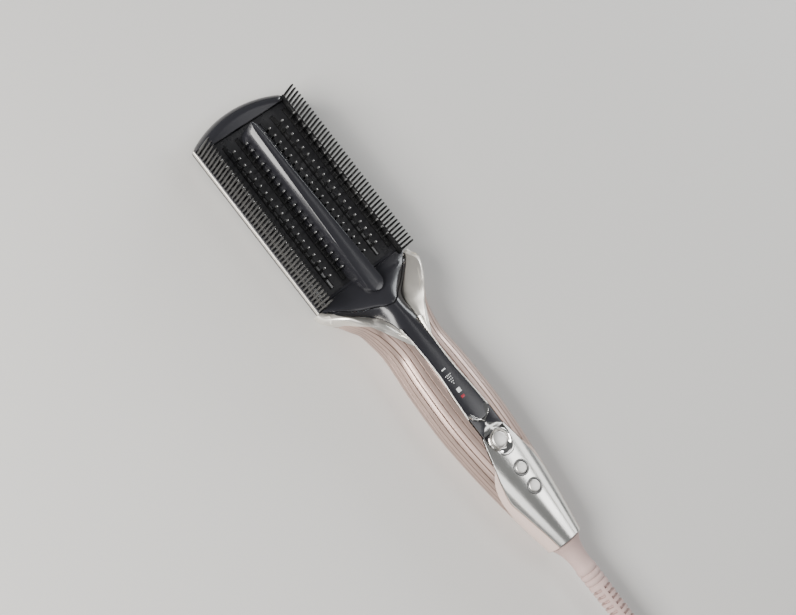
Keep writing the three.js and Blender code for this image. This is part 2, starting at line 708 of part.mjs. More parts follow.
function head() {
  add("head_back_cover", "gloss_black", backCover());
  add("head_side_trim", "satin_silver", headTrim());
  add("head_front_frame", "gloss_black", frontFrame());
  add("heat_plate", "heated_plate", heatPlate());
  add("comb_left", "gloss_black", sideComb(-1));
  add("comb_right", "gloss_black", sideComb(1));
  for (const [i, x] of PIN_ROWS.entries()) {
    const place = ["inner", "middle", "outer"][i];
    add(`pin_row_left_${place}`, "bright_pin", pinStrip(-x));
    add(`pin_row_right_${place}`, "bright_pin", pinStrip(x));
  }
  add("mist_bar", "gloss_black", mistBar());
  for (const side of [-1, 1]) {
    const [x0, x1] = side < 0 ? [-HEATER_HALF, -HEATER_INNER] : [HEATER_INNER, HEATER_HALF];
    const heater = block(x0, x1, HEATER_Y0, HEATER_Y1, HEATER_Z, PLATE_Z - GAP);
    add(side < 0 ? "heater_left" : "heater_right", "ceramic", heater);
  }
  const sheetTop = HEATER_Z - GAP;
  const sheet = block(-HEATER_HALF, HEATER_HALF, HEATER_Y0, HEATER_Y1, COVER_WALL + 1.4, sheetTop);
  add("heater_insulator", "insulation", sheet);
  const sensorY = HEATER_Y1 + 2;
  const sensor = block(4, 8, sensorY, sensorY + 5, HEATER_Z, PLATE_Z - GAP);
  add("temperature_sensor", "dark_plastic", sensor);
  const fuseEnd = sensorY + FUSE_LENGTH;
  const fuseProfile = [[0, sensorY], [FUSE_RADIUS, sensorY], [FUSE_RADIUS, fuseEnd], [0, fuseEnd]];
  const fuse = turned(fuseProfile, -8, PLATE_Z - GAP - FUSE_RADIUS, 12);
  add("thermal_fuse", "ceramic", fuse);
  headScrews.forEach(([x, y], i) => {
    add(`head_screw_${i + 1}`, "steel", screw(x, y, SCREW_HEAD_Z, FRAME_Z - 0.6));
  });
}

// Neck and handle shells
const GRIP_FRONT = behind(9);
const GRIP_REAR = fromTail(26);
const GRIP_CORNER = fromTail(51.5); // where the grip's slanted rear edge leaves the tail plate

function gripTop(y) {
  if (y > fromTail(70)) return gripAngle(y);
  const upper = angleAt(y, plateHalf(y) + SEAM);
  if (y > GRIP_CORNER) return upper;
  const t = (GRIP_CORNER - y) / (GRIP_CORNER - GRIP_REAR);
  return lerp(upper, rad(SEAM_ANGLE) + 0.12, t);
}

function gripPanel(side, grow = 0) {
  const low = rad(SEAM_ANGLE) - grow / GRIP_HALF;
  const place = (s, t) => {
    const y = lerp(GRIP_FRONT - SEAM + grow, GRIP_REAR - grow, t ** 1.4);
    const angle = lerp(low, gripTop(y) + grow / HANDLE_TOP, s);
    return { y, angle: side > 0 ? angle : Math.PI - angle };
  };
  const spare = grow > 0 ? 2 : 0;
  return panel(5, 20, SHELL_WALL + spare, place, spare);
}

const CREST_ANGLE = 45;
const collarSteps = [0, 0.08, 0.16, 0.25, 0.34, 0.43, 0.52, 0.61, 0.7, 0.8, 0.9, 1, 1.1, 1.2, 1.35, 1.5, 1.7, 2];

// A point of the collar. The share q runs from the narrow end beside the strip (0) over the wing to the
// side (1) and on to the middle of the back (2); t runs from the rear edge over the crest (0.5) to the front.
function collarPoint(q, t, inset) {
  const share = Math.min(1, q);
  const turn = Math.max(0, q - 1);
  const near = lerp(behind(36), behind(9), share);
  const far = lerp(behind(33), behind(-0.3), share);
  const rear = gripAngle(near) - SEAM / HANDLE_TOP;
  const crest = Math.max(rad(CREST_ANGLE), rear + 0.08);
  const middle = -Math.PI / 2 - 0.01;
  const onSkin = (y, angle, depth) => skin(y, lerp(angle, middle, turn), depth);
  if (t < 0.5) {
    const [y, angle] = [lerp(near, far, t), lerp(rear, crest, t * 2)];
    const hung = onSkin(y, angle, 0);
    hung.z -= inset;
    return hung.lerp(onSkin(y, angle, inset), smooth(q, 0.45, 0.75));
  }
  const high = angleAt(far, funnelHalf(far) + SEAM);
  const edge = new THREE.Vector3(funnelHalf(far) + SEAM, far, funnelZ(far));
  edge.lerp(onSkin(far, high, 0), smooth(turn, 0, 0.2));
  const bevel = onSkin(lerp(near, far, 0.5), crest, 0).lerp(edge, t * 2 - 1);
  bevel.z -= inset;
  const round = onSkin(lerp(near, far, t), lerp(crest, high, t * 2 - 1), inset);
  return bevel.lerp(round, smooth(turn, 0, 0.3));
}

// The plan of the funnel and strip, grown by a distance, as a tall solid.
function funnelSpace(grow) {
  const steps = 24;
  const right = range(steps + 1, (i) => {
    const y = lerp(fromTail(78), behind(-0.4), i / steps);
    return [funnelHalf(y) + grow, y];
  });
  const front = [HEAD_HALF + grow, LIP_Y + 1];
  return prism([...right, front, ...[...right, front].reverse().map(([x, y]) => [-x, y])], -1, 40);
}

function collarTrim() {
  const half = (side) => {
    const at = (inset) => (s, t) => {
      const point = collarPoint(collarSteps[Math.round(s * (collarSteps.length - 1))], t, inset);
      return point.setX(side * point.x);
    };
    return shell(collarSteps.length - 1, 4, at(0), at(WING_WALL));
  };
  const rim = (side) =>
    panel(1, 16, COLLAR_WALL, (s, t) => {
      const y = lerp(fromTail(80), behind(31), t);
      const x = side * (funnelHalf(y) + SEAM + s * (RIM_WIDTH - SEAM));
      return { y, angle: angleAt(y, x) };
    });
  const gripSpace = [-1, 1].flatMap((side) => {
    return [gripPanel(side, 2 * SEAM), gripPanel(side).translate([0, SEAM, 0])];
  });
  const above = block(-40, 40, fromTail(78), LIP_Y, AXIS_Z - 4, 40);
  const wings = join(half(1), half(-1)).subtract(join(...gripSpace));
  const cut = largest(wings.subtract(funnelSpace(SEAM).intersect(above)).add(rim(-1)).add(rim(1)));
  return cut.asOriginal().simplify(0.03);
}

const SURROUND_FRONT = fromTail(79);
const STRIP_ROUND = 5;
const surroundOutline = (grow) => {
  const half = SURROUND_HALF + grow;
  const side = [
    [half - 0.4, SURROUND_FRONT + grow],
    [half - 0.7, fromTail(72)],
    [half + 0.3, fromTail(63)],
    [half - 0.8, fromTail(59)],
    [half - 3, fromTail(56)],
  ];
  const tip = [0, fromTail(53.4) - grow];
  return [...side, tip, ...[...side].reverse().map(([x, y]) => [-x, y])];
};
// Rear edge of the strip: round, so that the surround follows it.
const stripEnd = (share) => fromTail(80) - STRIP_ROUND * Math.sqrt(Math.max(0, 1 - share ** 2)) + 1;

// The rows of the strip lie closer together towards the front, where it widens.
function displayStrip() {
  const whole = roofPanel(8, 16, SHELL_WALL, (s, t) => {
    const share = 2 * s - 1;
    const y = lerp(stripEnd(share) + SEAM, behind(3), 1 - (1 - t) ** 1.6);
    return [share * funnelHalf(y), y];
  });
  const side = HEAD_HALF + 1;
  const edge = range(25, (i) => {
    const x = lerp(-side, side, i / 24);
    return [x, shoulderEdge(Math.abs(x)) - SEAM];
  });
  const shoulderSpace = prism([...edge, [side, TIP_Y], [-side, TIP_Y]], 0, 40);
  return largest(whole.subtract(shoulderSpace)).asOriginal().simplify(0.03);
}

const CHROME_LIFT = 0.3;
const powerY = fromTail(POWER_FROM_TAIL);
const levels = [
  { name: "level_up", y: fromTail(UP_FROM_TAIL) },
  { name: "level_down", y: fromTail(DOWN_FROM_TAIL) },
];

function powerSurround() {
  const top = topZ(powerY);
  const plate = panel(6, 5, SURROUND_THICK, (s, t) => {
    const y = lerp(fromTail(53), SURROUND_FRONT + 1, t);
    return { y, angle: angleAt(y, (2 * s - 1) * (SURROUND_HALF + 1)) };
  });
  const end = range(9, (i) => [(i / 4 - 1) * (STRIP_HALF + 2), stripEnd(i / 4 - 1) - SEAM]);
  const side = SURROUND_HALF + 3;
  const stripSpace = prism([...end, [side, fromTail(90)], [-side, fromTail(90)]], 0, 40);
  return plate
    .intersect(prism(surroundOutline(0), 0, 40))
    .subtract(stripSpace)
    .subtract(post(POWER_RADIUS + GAP, 0, powerY, 0, top + 5))
    .translate([0, 0, CHROME_LIFT]);
}

function tailPlate() {
  const plate = panel(6, 10, SHELL_WALL, (s, t) => {
    const y = lerp(TAIL_Y, fromTail(68), t);
    return { y, angle: angleAt(y, (2 * s - 1) * (plateHalf(y) - SEAM)) };
  });
  const holes = levels.map(({ y }) => post(LEVEL_RADIUS + RING_WIDTH + GAP * 2, 0, y, 0, 40));
  return plate.subtract(prism(surroundOutline(SEAM), 0, 40)).subtract(join(...holes));
}

const FILL_SEAT = 14.2; // where the filler plug's flange sits, from the middle
const PLUG_THICK = 1.6;
const PLUG_REACH = 5;
const handleScrews = [fromTail(100), fromTail(58)];

function cross(radius, x0, x1, y, z, sides = 14) {
  const geometry = new THREE.CylinderGeometry(radius, radius, x1 - x0, sides);
  return solid(geometry.rotateZ(Math.PI / 2).translate((x0 + x1) / 2, y, z));
}

function backShell() {
  const low = rad(SEAM_ANGLE) - (2 * SEAM) / GRIP_HALF;
  const cradle = panel(10, 12, SHELL_WALL, (s, t) => {
    const y = lerp(GRIP_FRONT - SEAM, GRIP_CORNER + 1, t ** 1.3);
    return { y, angle: lerp(low, -Math.PI - low, s) };
  });
  const cuff = panel(16, 6, SHELL_WALL, (s, t) => {
    const y = lerp(TAIL_Y, GRIP_CORNER + 2, t);
    const top = angleAt(y, plateHalf(y));
    return { y, angle: lerp(top, -Math.PI - top, s) };
  });
  const gripSpace = [-1, 1].map((side) => gripPanel(side, 2 * SEAM));
  const seat = cross(PLUG_FLANGE + GAP, FILL_SEAT, COLLAR_HALF, PLUG_Y, PLUG_Z);
  const port = cross(PLUG_STEM + 1 + GAP, TANK_HALF - 3, FILL_SEAT + 1, PLUG_Y, PLUG_Z);
  const hollow = join(cradle, cuff.subtract(join(...gripSpace))).subtract(seat).subtract(port);
  return handleScrews.reduce(
    (c, y) => screwWell(c, 0, y, SHELL_WALL - 0.6, CHASSIS_Z - GAP),
    hollow,
  );
}

function shells() {
  add("collar_trim", "satin_silver", collarTrim());
  add("display_strip", "gloss_black", displayStrip());
  add("grip_left", "rose_gold", gripPanel(-1));
  add("grip_right", "rose_gold", gripPanel(1));
  add("tail_plate", "satin_silver", tailPlate());
  add("handle_back_shell", "pale_rose", backShell());
  add("power_surround", "chrome", powerSurround());
}

const DISPLAY_REAR = 76; // rear end of the display board, from the tail
const DISPLAY_FRONT = 56; // its front end, behind the neck line

// Buttons: a cap with a retaining flange under the shell, over a tact switch
const FLANGE_DROP = 2.7; // from the cap's top to the top of its flange
const FLANGE_THICK = 0.6;
const SWITCH_BODY = 5.6;

function button(radius, flange, y) {
  const top = topZ(y) + BUTTON_PROUD;
  const cap = post(radius, 0, y, top - FLANGE_DROP - FLANGE_THICK, top, 20);
  return cap.add(post(flange, 0, y, top - FLANGE_DROP - FLANGE_THICK, top - FLANGE_DROP, 20));
}

function tactSwitch(y) {
  const reach = topZ(y) + BUTTON_PROUD - FLANGE_DROP - FLANGE_THICK - BUTTON_TRAVEL - 0.15;
  const half = SWITCH_BODY / 2;
  const low = BOARD_TOP + GAP;
  const body = block(-half, half, y - half, y + half, low, lerp(low, reach, 0.7));
  return body.add(post(1.5, 0, y, low + 0.5, reach, 12));
}

function controls() {
  add("power_button", "button_silver", button(POWER_RADIUS, POWER_RADIUS + 0.6, powerY));
  add("power_switch", "dark_plastic", tactSwitch(powerY));
  for (const { name, y } of levels) {
    add(`${name}_button`, "button_silver", button(LEVEL_RADIUS, LEVEL_RADIUS + 0.6, y));
    const top = topZ(y);
    const ring = post(LEVEL_RADIUS + GAP + RING_WIDTH, 0, y, top - SHELL_WALL, top + 0.1, 20);
    add(`${name}_ring`, "ring_grey", ring.subtract(post(LEVEL_RADIUS + GAP, 0, y, 0, 40, 20)));
    add(`${name}_switch`, "dark_plastic", tactSwitch(y));
  }
  const half = SWITCH_BODY / 2 + 2;
  const boardY = [fromTail(DOWN_FROM_TAIL) - half, powerY + half];
  add("button_board", "board_green", block(-half, half, ...boardY, BOARD_Z, BOARD_TOP));
  const display = [fromTail(DISPLAY_REAR), behind(DISPLAY_FRONT)];
  add("display_board", "board_green", block(-4.4, 4.4, ...display, BOARD_Z, BOARD_TOP));
  const guideTop = HANDLE_TOP - SHELL_WALL - 0.75;
  const guide = block(-2.2, 2.2, fromTail(88), fromTail(106), BOARD_TOP + GAP, guideTop);
  add("light_guide", "clear_plastic", guide);
}

// Chassis: a tray with two side walls that carry the upper boards
const CHASSIS_REAR = fromTail(CHASSIS_FROM_TAIL);
const CHASSIS_FRONT = behind(CHASSIS_FROM_NECK);
const MAIN_BOARD_Z = CHASSIS_Z + CHASSIS_THICK + 2;

function chassis() {
  const z1 = BOARD_Z - GAP;
  const floorTop = CHASSIS_Z + CHASSIS_THICK;
  const floor = block(-CHASSIS_HALF, CHASSIS_HALF, CHASSIS_REAR, CHASSIS_FRONT, CHASSIS_Z, floorTop);
  const walls = [-1, 1].map((side) => {
    const [a, b] = [side * CHASSIS_HALF, side * (CHASSIS_HALF - 1.2)];
    return block(Math.min(a, b), Math.max(a, b), CHASSIS_REAR, CHASSIS_FRONT, CHASSIS_Z, z1 - 1);
  });
  const ledgeAt = [CHASSIS_REAR + 1, powerY, fromTail(DISPLAY_REAR) + 2, behind(DISPLAY_FRONT) - 3];
  const ledges = ledgeAt.map((y) => block(-CHASSIS_HALF, CHASSIS_HALF, y, y + 1.6, z1 - 2.4, z1));
  const padAt = [CHASSIS_REAR + 3, powerY, CHASSIS_FRONT - 6, CHASSIS_FRONT - 18];
  const pads = padAt.map((y) => block(-3, 3, y, y + 3, CHASSIS_Z + 1, MAIN_BOARD_Z - GAP));
  const holes = handleScrews.map((y) => post(SCREW_SHANK + GAP, 0, y, 0, CHASSIS_Z + 6, 10));
  const bosses = handleScrews.map((y) => post(BOSS_RADIUS, 0, y, CHASSIS_Z + 1, MAIN_BOARD_Z - GAP));
  return join(floor, ...walls, ...ledges, ...pads, ...bosses).subtract(join(...holes));
}

function electronics() {
  add("chassis", "dark_plastic", chassis());
  const half = CHASSIS_HALF - 1.2 - GAP;
  const driver = [CHASSIS_FRONT - 1 - DRIVER_LENGTH, CHASSIS_FRONT - 1];
  const boardEnds = [CHASSIS_REAR + 2, driver[0] - 2];
  const boardTop = MAIN_BOARD_Z + BOARD_THICK;
  add("main_board", "board_green", block(-half, half, ...boardEnds, MAIN_BOARD_Z, boardTop));
  const moduleEnds = [powerY + 2.5, fromTail(DISPLAY_REAR) + 1];
  const module = block(-5, 5, ...moduleEnds, boardTop + GAP, BOARD_Z - 2 * GAP);
  add("power_module", "dark_plastic", module);
  add("disc_driver_board", "board_green", block(-half, half, ...driver, MAIN_BOARD_Z, boardTop));
  handleScrews.forEach((y, i) => {
    add(`handle_screw_${i + 1}`, "steel", screw(0, y, SCREW_HEAD_Z, CHASSIS_Z + 2.4));
  });
}

// Water: the tank lies in the neck, the disc on top of it, and the chamber leads into the hollow bar
const TANK_FRONT = NECK_Y - 1;
const DISC_Y = TANK_FRONT - 22;
const SEAL_HEIGHT = 1.6;
const CHAMBER_TOP = 17.6;

function tank() {
  const y0 = TANK_FRONT - TANK_LENGTH;
  const walls = 1.2;
  const outer = block(-TANK_HALF, TANK_HALF, y0, TANK_FRONT, TANK_Z, TANK_TOP);
  const inner = block(
    walls - TANK_HALF,
    TANK_HALF - walls,
    y0 + walls,
    TANK_FRONT - walls,
    TANK_Z + walls,
    TANK_TOP - walls,
  );
  const feet = [y0 + 2, y0 + 19].map((y) => block(-3, 3, y, y + 3, SHELL_WALL + GAP, TANK_Z + 0.5));
  const spout = cross(PLUG_STEM + 1, TANK_HALF - 0.5, FILL_SEAT - 0.5, PLUG_Y, PLUG_Z);
  return join(outer, spout, ...feet)
    .subtract(inner)
    .subtract(cross(PLUG_STEM + GAP, TANK_HALF - 3, FILL_SEAT + 1, PLUG_Y, PLUG_Z))
    .subtract(post(DISC_RADIUS - 2, 0, DISC_Y, TANK_TOP - 3, TANK_TOP + 1));
}

function fillerPlug() {
  const inner = FILL_SEAT + GAP - PLUG_REACH;
  const stem = cross(PLUG_STEM, inner, FILL_SEAT + 1, PLUG_Y, PLUG_Z);
  const flange = cross(PLUG_FLANGE, FILL_SEAT + GAP, FILL_SEAT + GAP + PLUG_THICK, PLUG_Y, PLUG_Z);
  const tab = FILL_SEAT + GAP + PLUG_THICK;
  const half = PLUG_FLANGE;
  const pull = block(tab - 0.5, tab + 1.2, PLUG_Y - half, PLUG_Y + half, PLUG_Z - 0.6, PLUG_Z + 0.6);
  return join(stem, flange, pull);
}

function water() {
  add("water_tank", "clear_plastic", tank());
  add("filler_plug", "silicone", fillerPlug());
  const sealZ = TANK_TOP + GAP;
  const seal = post(DISC_RADIUS + 1.2, 0, DISC_Y, sealZ, sealZ + SEAL_HEIGHT);
  const groove = post(DISC_RADIUS + GAP, 0, DISC_Y, sealZ + 0.6, sealZ + SEAL_HEIGHT + 1);
  const bore = post(DISC_RADIUS - 2, 0, DISC_Y, sealZ - 1, sealZ + 2);
  add("disc_seal", "silicone", seal.subtract(groove).subtract(bore));
  const discZ = sealZ + 0.6 + GAP;
  add("ultrasonic_disc", "brass", post(DISC_RADIUS, 0, DISC_Y, discZ, discZ + 0.6));
  const chamberZ = sealZ + SEAL_HEIGHT + GAP;
  const y0 = DISC_Y - DISC_RADIUS - 2;
  const y1 = BAR_Y0 - GAP;
  const outer = block(-6, 6, y0, y1, chamberZ, CHAMBER_TOP);
  const inner = block(-4.4, 4.4, y0 + 1.6, y1 + 1, chamberZ - 1, CHAMBER_TOP - 1.4);
  add("mist_chamber", "dark_plastic", outer.subtract(inner));
}

// Cord: boot, clamp, lead, coil and plug
const BOOT_END = TAIL_Y - BOOT_LENGTH;
const BOOT_TAIL_RADIUS = 5;
const BOOT_ROOT = TAIL_HALF - SHELL_WALL - 2 * GAP - 0.4;
const BOOT_HOLD = 5.4; // length held inside the tail

function boot() {
  const y0 = TAIL_Y - 0.4;
  const ribs = BOOT_SLOTS + 3;
  const first = y0 - 17.6;
  const ribRadius = (y) => lerp(BOOT_RIB, BOOT_TAIL_RADIUS, (first - y) / (first - BOOT_END));
  const profile = [
    [0, BOOT_END],
    [ribRadius(BOOT_END), BOOT_END],
    [BOOT_RIB, first],
    [BOOT_NECK, first + 1.2],
    [BOOT_NECK, y0 - 12],
    [BOOT_NECK + 0.7, y0 - 7],
    [BOOT_BASE - 1.2, y0 - 2.4],
    [BOOT_BASE, y0],
    [BOOT_ROOT, y0],
    [BOOT_ROOT, fromTail(BOOT_HOLD)],
    [0, fromTail(BOOT_HOLD)],
  ];
  const body = turned(profile, 0, AXIS_Z, 14);
  const cuts = range(ribs, (i) => {
    const y = first - 2 - i * BOOT_PITCH;
    const wide = i < 3 ? 0.9 : 1.5;
    const depth = i < 3 ? 0.6 : 1.5;
    const cut = block(-9, 9, y - wide, y, ribRadius(y) - depth, 9);
    const side = block(ribRadius(y) - depth, 9, y - wide, y, -4.2, 4.2);
    const pair = i < 3 ? [cut, cut.rotate([0, 180, 0])] : [];
    return join(side, side.rotate([0, 180, 0]), ...pair);
  });
  const turn = join(...cuts).rotate([0, -BOOT_TURN, 0]).translate([0, 0, AXIS_Z]);
  return body.subtract(turn);
}

const PATH_START = BOOT_END - GAP;
const PLUG_HALF = 9;
const PLUG_LENGTH = 34;
const PLUG_AXIS = CORD_RADIUS + 4.8; // height of the plug's axis
const COIL_CENTRE = new THREE.Vector2(0, PATH_START - 76);
const LAYER_RISE = COIL_PITCH;

// A path that is straight for one cord diameter at both ends.
function tube(path, steps, sides) {
  const ring = range(sides, (i) => {
    const a = (2 * Math.PI * (i + 0.5)) / sides;
    return new THREE.Vector2(CORD_RADIUS * Math.cos(a), CORD_RADIUS * Math.sin(a));
  });
  const options = { steps, extrudePath: path, bevelEnabled: false };
  return solid(new THREE.ExtrudeGeometry(new THREE.Shape(ring), options));
}

// The coil spirals in and out again, a layer at a time, and climbs in the half turn where it reverses.
class CoilPath extends THREE.Curve {
  constructor() {
    super();
    this.turns = COIL_LAYERS * COIL_TURNS;
    this.straight = 2 * CORD_RADIUS;
    this.arcLengthDivisions = 3000;
    this.round = this.turns * 2 * Math.PI * (COIL_OUTER - (COIL_PITCH * COIL_TURNS) / 2);
    this.share = this.straight / (this.round + 2 * this.straight);
  }

  at(turn) {
    const layer = turn / COIL_TURNS;
    const phase = layer % 2;
    const inward = phase <= 1 ? phase : 2 - phase;
    const radius = COIL_OUTER - COIL_PITCH * COIL_TURNS * inward;
    const nearest = Math.min(COIL_LAYERS - 1, Math.max(1, Math.round(layer)));
    const climb = THREE.MathUtils.smoothstep((turn - nearest * COIL_TURNS) * 2 + 0.5, 0, 1);
    const z = CORD_RADIUS + LAYER_RISE * (nearest - 1 + climb);
    const angle = Math.PI + 2 * Math.PI * turn;
    const x = COIL_CENTRE.x + radius * Math.cos(angle);
    return new THREE.Vector3(x, COIL_CENTRE.y + radius * Math.sin(angle), z);
  }

  getPoint(t, target = new THREE.Vector3()) {
    const run = (this.straight * Math.max(0, this.share - t)) / this.share;
    const past = (this.straight * Math.max(0, t - 1 + this.share)) / this.share;
    const turn = (this.turns * (t - this.share)) / (1 - 2 * this.share);
    const point = this.at(THREE.MathUtils.clamp(turn, 0, this.turns));
    return target.copy(point).add(new THREE.Vector3(0, run - past, 0));
  }
}

// Least distance between parts of the coil that are more than half a turn apart, less a cord's width.
function coilGap(path, perTurn = 48) {
  const count = path.turns * perTurn;
  const points = range(count + 1, (i) => path.at(i / perTurn));
  let least = Infinity;
  for (let i = 0; i <= count; i++) {
    for (let j = i + perTurn / 2; j <= count; j++) {
      least = Math.min(least, points[i].distanceTo(points[j]));
    }
  }
  return least - 2 * CORD_RADIUS;
}

const coilPath = new CoilPath();
const coilStart = coilPath.getPoint(0);
const coilEnd = coilPath.getPoint(1);

function routed(points) {
  const path = new THREE.CatmullRomCurve3(points.map(([x, y, z]) => new THREE.Vector3(x, y, z)));
  path.arcLengthDivisions = 400;
  return path;
}

const leadPath = routed([
  [0, PATH_START, AXIS_Z],
  [0, PATH_START - 7, AXIS_Z],
  [-5, PATH_START - 17, AXIS_Z - 1.8],
  [-21, PATH_START - 30, CORD_RADIUS + 4],
  [coilStart.x + 4, PATH_START - 45, CORD_RADIUS + 0.8],
  [coilStart.x + 0.5, PATH_START - 58, CORD_RADIUS],
  [coilStart.x, coilStart.y + 7, CORD_RADIUS],
  [coilStart.x, coilStart.y + GAP, CORD_RADIUS],
]);
const PLUG_X = coilEnd.x + 12;
const PLUG_BACK = coilEnd.y - 68; // rear face of the plug
const tailPath = routed([
  [coilEnd.x, coilEnd.y - GAP, coilEnd.z],
  [coilEnd.x, coilEnd.y - 7, coilEnd.z],
  [coilEnd.x - 1, coilEnd.y - 22, coilEnd.z - 4.5],
  [coilEnd.x + 3, coilEnd.y - 42, PLUG_AXIS + 3],
  [PLUG_X - 1, PLUG_BACK + 10, PLUG_AXIS],
  [PLUG_X, PLUG_BACK + 6, PLUG_AXIS],
  [PLUG_X, PLUG_BACK + GAP, PLUG_AXIS],
]);

function plugBody() {
  const ring = (y, half, high) =>
    range(12, (i) => {
      const a = (2 * Math.PI * (i + 0.5)) / 12;
      const bend = (v) => Math.sign(v) * Math.abs(v) ** 0.6;
      const [x, z] = [half * bend(Math.cos(a)), high * bend(Math.sin(a))];
      return new THREE.Vector3(x, z, y);
    });
  const body = loft([
    ring(0, 4.4, 4.4),
    ring(7, 4.6, 4.6),
    ring(12, PLUG_HALF - 1.5, PLUG_AXIS - 1),
    ring(PLUG_LENGTH - 2, PLUG_HALF + 2.5, PLUG_AXIS),
    ring(PLUG_LENGTH, PLUG_HALF + 2, PLUG_AXIS - 0.5),
  ]);
  const sockets = [-1, 1].map((side) => plugPin(side, GAP));
  return body
    .rotate([90, 0, 0])
    .translate([PLUG_X, PLUG_BACK, PLUG_AXIS])
    .subtract(join(...sockets));
}

function plugPin(side, grow) {
  const x = PLUG_X + side * 6.35;
  const face = PLUG_BACK - PLUG_LENGTH;
  return block(
    x - 0.8 - grow,
    x + 0.8 + grow,
    face - 16,
    face + 6 + grow,
    PLUG_AXIS - 3.2 - grow,
    PLUG_AXIS + 3.2 + grow,
  );
}

function cord() {
  add("strain_relief", "dusty_pink", boot());
  const clampY = fromTail(BOOT_HOLD) + GAP;
  const clamp = block(-6.4, 6.4, clampY, clampY + 6, AXIS_Z - 6, AXIS_Z + 5.4);
  add("cord_clamp", "dark_plastic", clamp);
  add("cord_lead", "dusty_pink", tube(leadPath, 12, 8));
  add("cord_coil", "dusty_pink", tube(coilPath, coilPath.turns * 24 + 2, 6));
  add("cord_tail", "dusty_pink", tube(tailPath, 10, 8));
  add("plug_body", "dusty_pink", plugBody());
  add("plug_pin_left", "brass", plugPin(-1, 0));
  add("plug_pin_right", "brass", plugPin(1, 0));
}

head();
shells();
controls();
electronics();
water();
cord();

const metres = (leadPath.getLength() + coilPath.getLength() + tailPath.getLength()) / 1000;
console.log(`cord ${metres.toFixed(3)} m, least gap in the coil ${coilGap(coilPath).toFixed(2)} mm`);

export default comb;
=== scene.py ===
"""Looks of a hair straightening comb with a mist bar: detailed pieces, finishes, cord and studio.

Lengths are millimetres while a piece is shaped, and its mesh becomes metres when it is finished.
The comb lies on its back: X across, Y from the tail to the tip of the head, Z up.
"""

import logging
import math
from bisect import bisect_left
from collections.abc import Callable, Iterable, Sequence
from dataclasses import dataclass, field
from enum import Enum

import bmesh
import bpy
from mathutils import Matrix, Vector


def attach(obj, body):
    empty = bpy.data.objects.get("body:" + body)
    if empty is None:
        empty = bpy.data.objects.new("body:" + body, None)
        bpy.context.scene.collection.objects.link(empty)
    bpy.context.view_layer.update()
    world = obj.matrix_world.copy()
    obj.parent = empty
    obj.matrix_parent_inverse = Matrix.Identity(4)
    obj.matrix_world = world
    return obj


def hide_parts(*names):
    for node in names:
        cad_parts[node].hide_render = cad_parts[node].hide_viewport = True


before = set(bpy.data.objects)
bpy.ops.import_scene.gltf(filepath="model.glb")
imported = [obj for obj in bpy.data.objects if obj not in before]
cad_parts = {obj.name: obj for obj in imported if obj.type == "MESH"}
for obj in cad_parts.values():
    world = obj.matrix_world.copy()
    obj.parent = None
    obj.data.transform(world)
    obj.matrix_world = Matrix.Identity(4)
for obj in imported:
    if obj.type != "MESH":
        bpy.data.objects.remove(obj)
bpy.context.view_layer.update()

LOG = logging.getLogger("hair_comb")
MM = 0.001
BODY = "comb_body"

UP = Vector((0, 0, 1))
ACROSS = Vector((1, 0, 0))
ALONG = Vector((0, 1, 0))

Place = Callable[[float, float], Vector]
Outline = Callable[[float], list[tuple[float, float]]]
Colour = tuple[float, float, float]
Socket = bpy.types.NodeSocket
Input = bpy.types.NodeSocket | float | Sequence[float]

# The main sizes of the CAD model
GAP = 0.3
SEAM = 0.25
NECK_Y = 28.0
TIP_Y = 140.0
TAIL_Y = -140.0
HEAD_HALF = 29.6
TIP_RISE = 7.0
AXIS_Z = 12.5
HANDLE_TOP = 25.0
CREST_TOP = 27.0
TAIL_TOP = 22.3
TAIL_BOTTOM = 2.7
WAIST_HALF = 17.4
GRIP_HALF = 20.1
TAIL_HALF = 10.2
COLLAR_HALF = 33.0
STRIP_HALF = 4.7
RIM_WIDTH = 0.9
SURROUND_HALF = 6.5
SHELL_WALL = 2.0
PLATE_TOP = 11.5
LIP_Y = NECK_Y + 3
SEAM_ANGLE = math.radians(-14)
CORD_RADIUS = 3.2
WELL_RADIUS = 2.5

# Heights between which a cutter passes right through the top of the handle
CUT_LOW = 5.0
CUT_HIGH = 35.0


def behind(distance: float) -> float:
    """Y of a place behind the neck line."""
    return NECK_Y - distance


def from_tail(distance: float) -> float:
    """Y of a place in front of the tail."""
    return TAIL_Y + distance


LEVEL_BUTTONS_Y = (from_tail(44.5), from_tail(33))


def lerp(a: float, b: float, t: float) -> float:
    """Value between a and b at the share t."""
    return a + (b - a) * t


def smooth(t: float) -> float:
    """Share t from 0 to 1, eased at both ends."""
    t = min(1.0, max(0.0, t))
    return t * t * (3 - 2 * t)


class Line:
    """A smooth line through points (position, value) that never overshoots them."""

    def __init__(self, *points: tuple[float, float]) -> None:
        """Sort the points and find the slope at each."""
        self.points = sorted(points)
        self.places = [place for place, _ in self.points]
        steps = list(zip(self.points, self.points[1:]))
        slopes = [(b[1] - a[1]) / (b[0] - a[0]) for a, b in steps]
        inner = [self._between(a, b) for a, b in zip(slopes, slopes[1:])]
        self.tangents = [slopes[0], *inner, slopes[-1]]

    @staticmethod
    def _between(a: float, b: float) -> float:
        """Slope at a point whose neighbouring stretches rise by a and b."""
        return 0.0 if a * b <= 0 else 2 * a * b / (a + b)

    def __call__(self, x: float) -> float:
        """Find the line's value.

        Args:
            x: The position.

        Returns:
            The value there; past an end it is the end's own.
        """
        if x <= self.places[0]:
            return self.points[0][1]
        if x >= self.places[-1]:
            return self.points[-1][1]
        i = bisect_left(self.places, x) - 1
        (x0, y0), (x1, y1) = self.points[i : i + 2]
        h = x1 - x0
        t = (x - x0) / h
        start = self.tangents[i] * t * (1 - t) ** 2
        end = self.tangents[i + 1] * t * t * (1 - t)
        return y0 + (y1 - y0) * t * t * (3 - 2 * t) + h * (start - end)


@dataclass(frozen=True)
class Section:
    """The handle's section at one y."""

    half: float
    top: float
    widest: float
    bottom: float
    square: float
    top_square: float


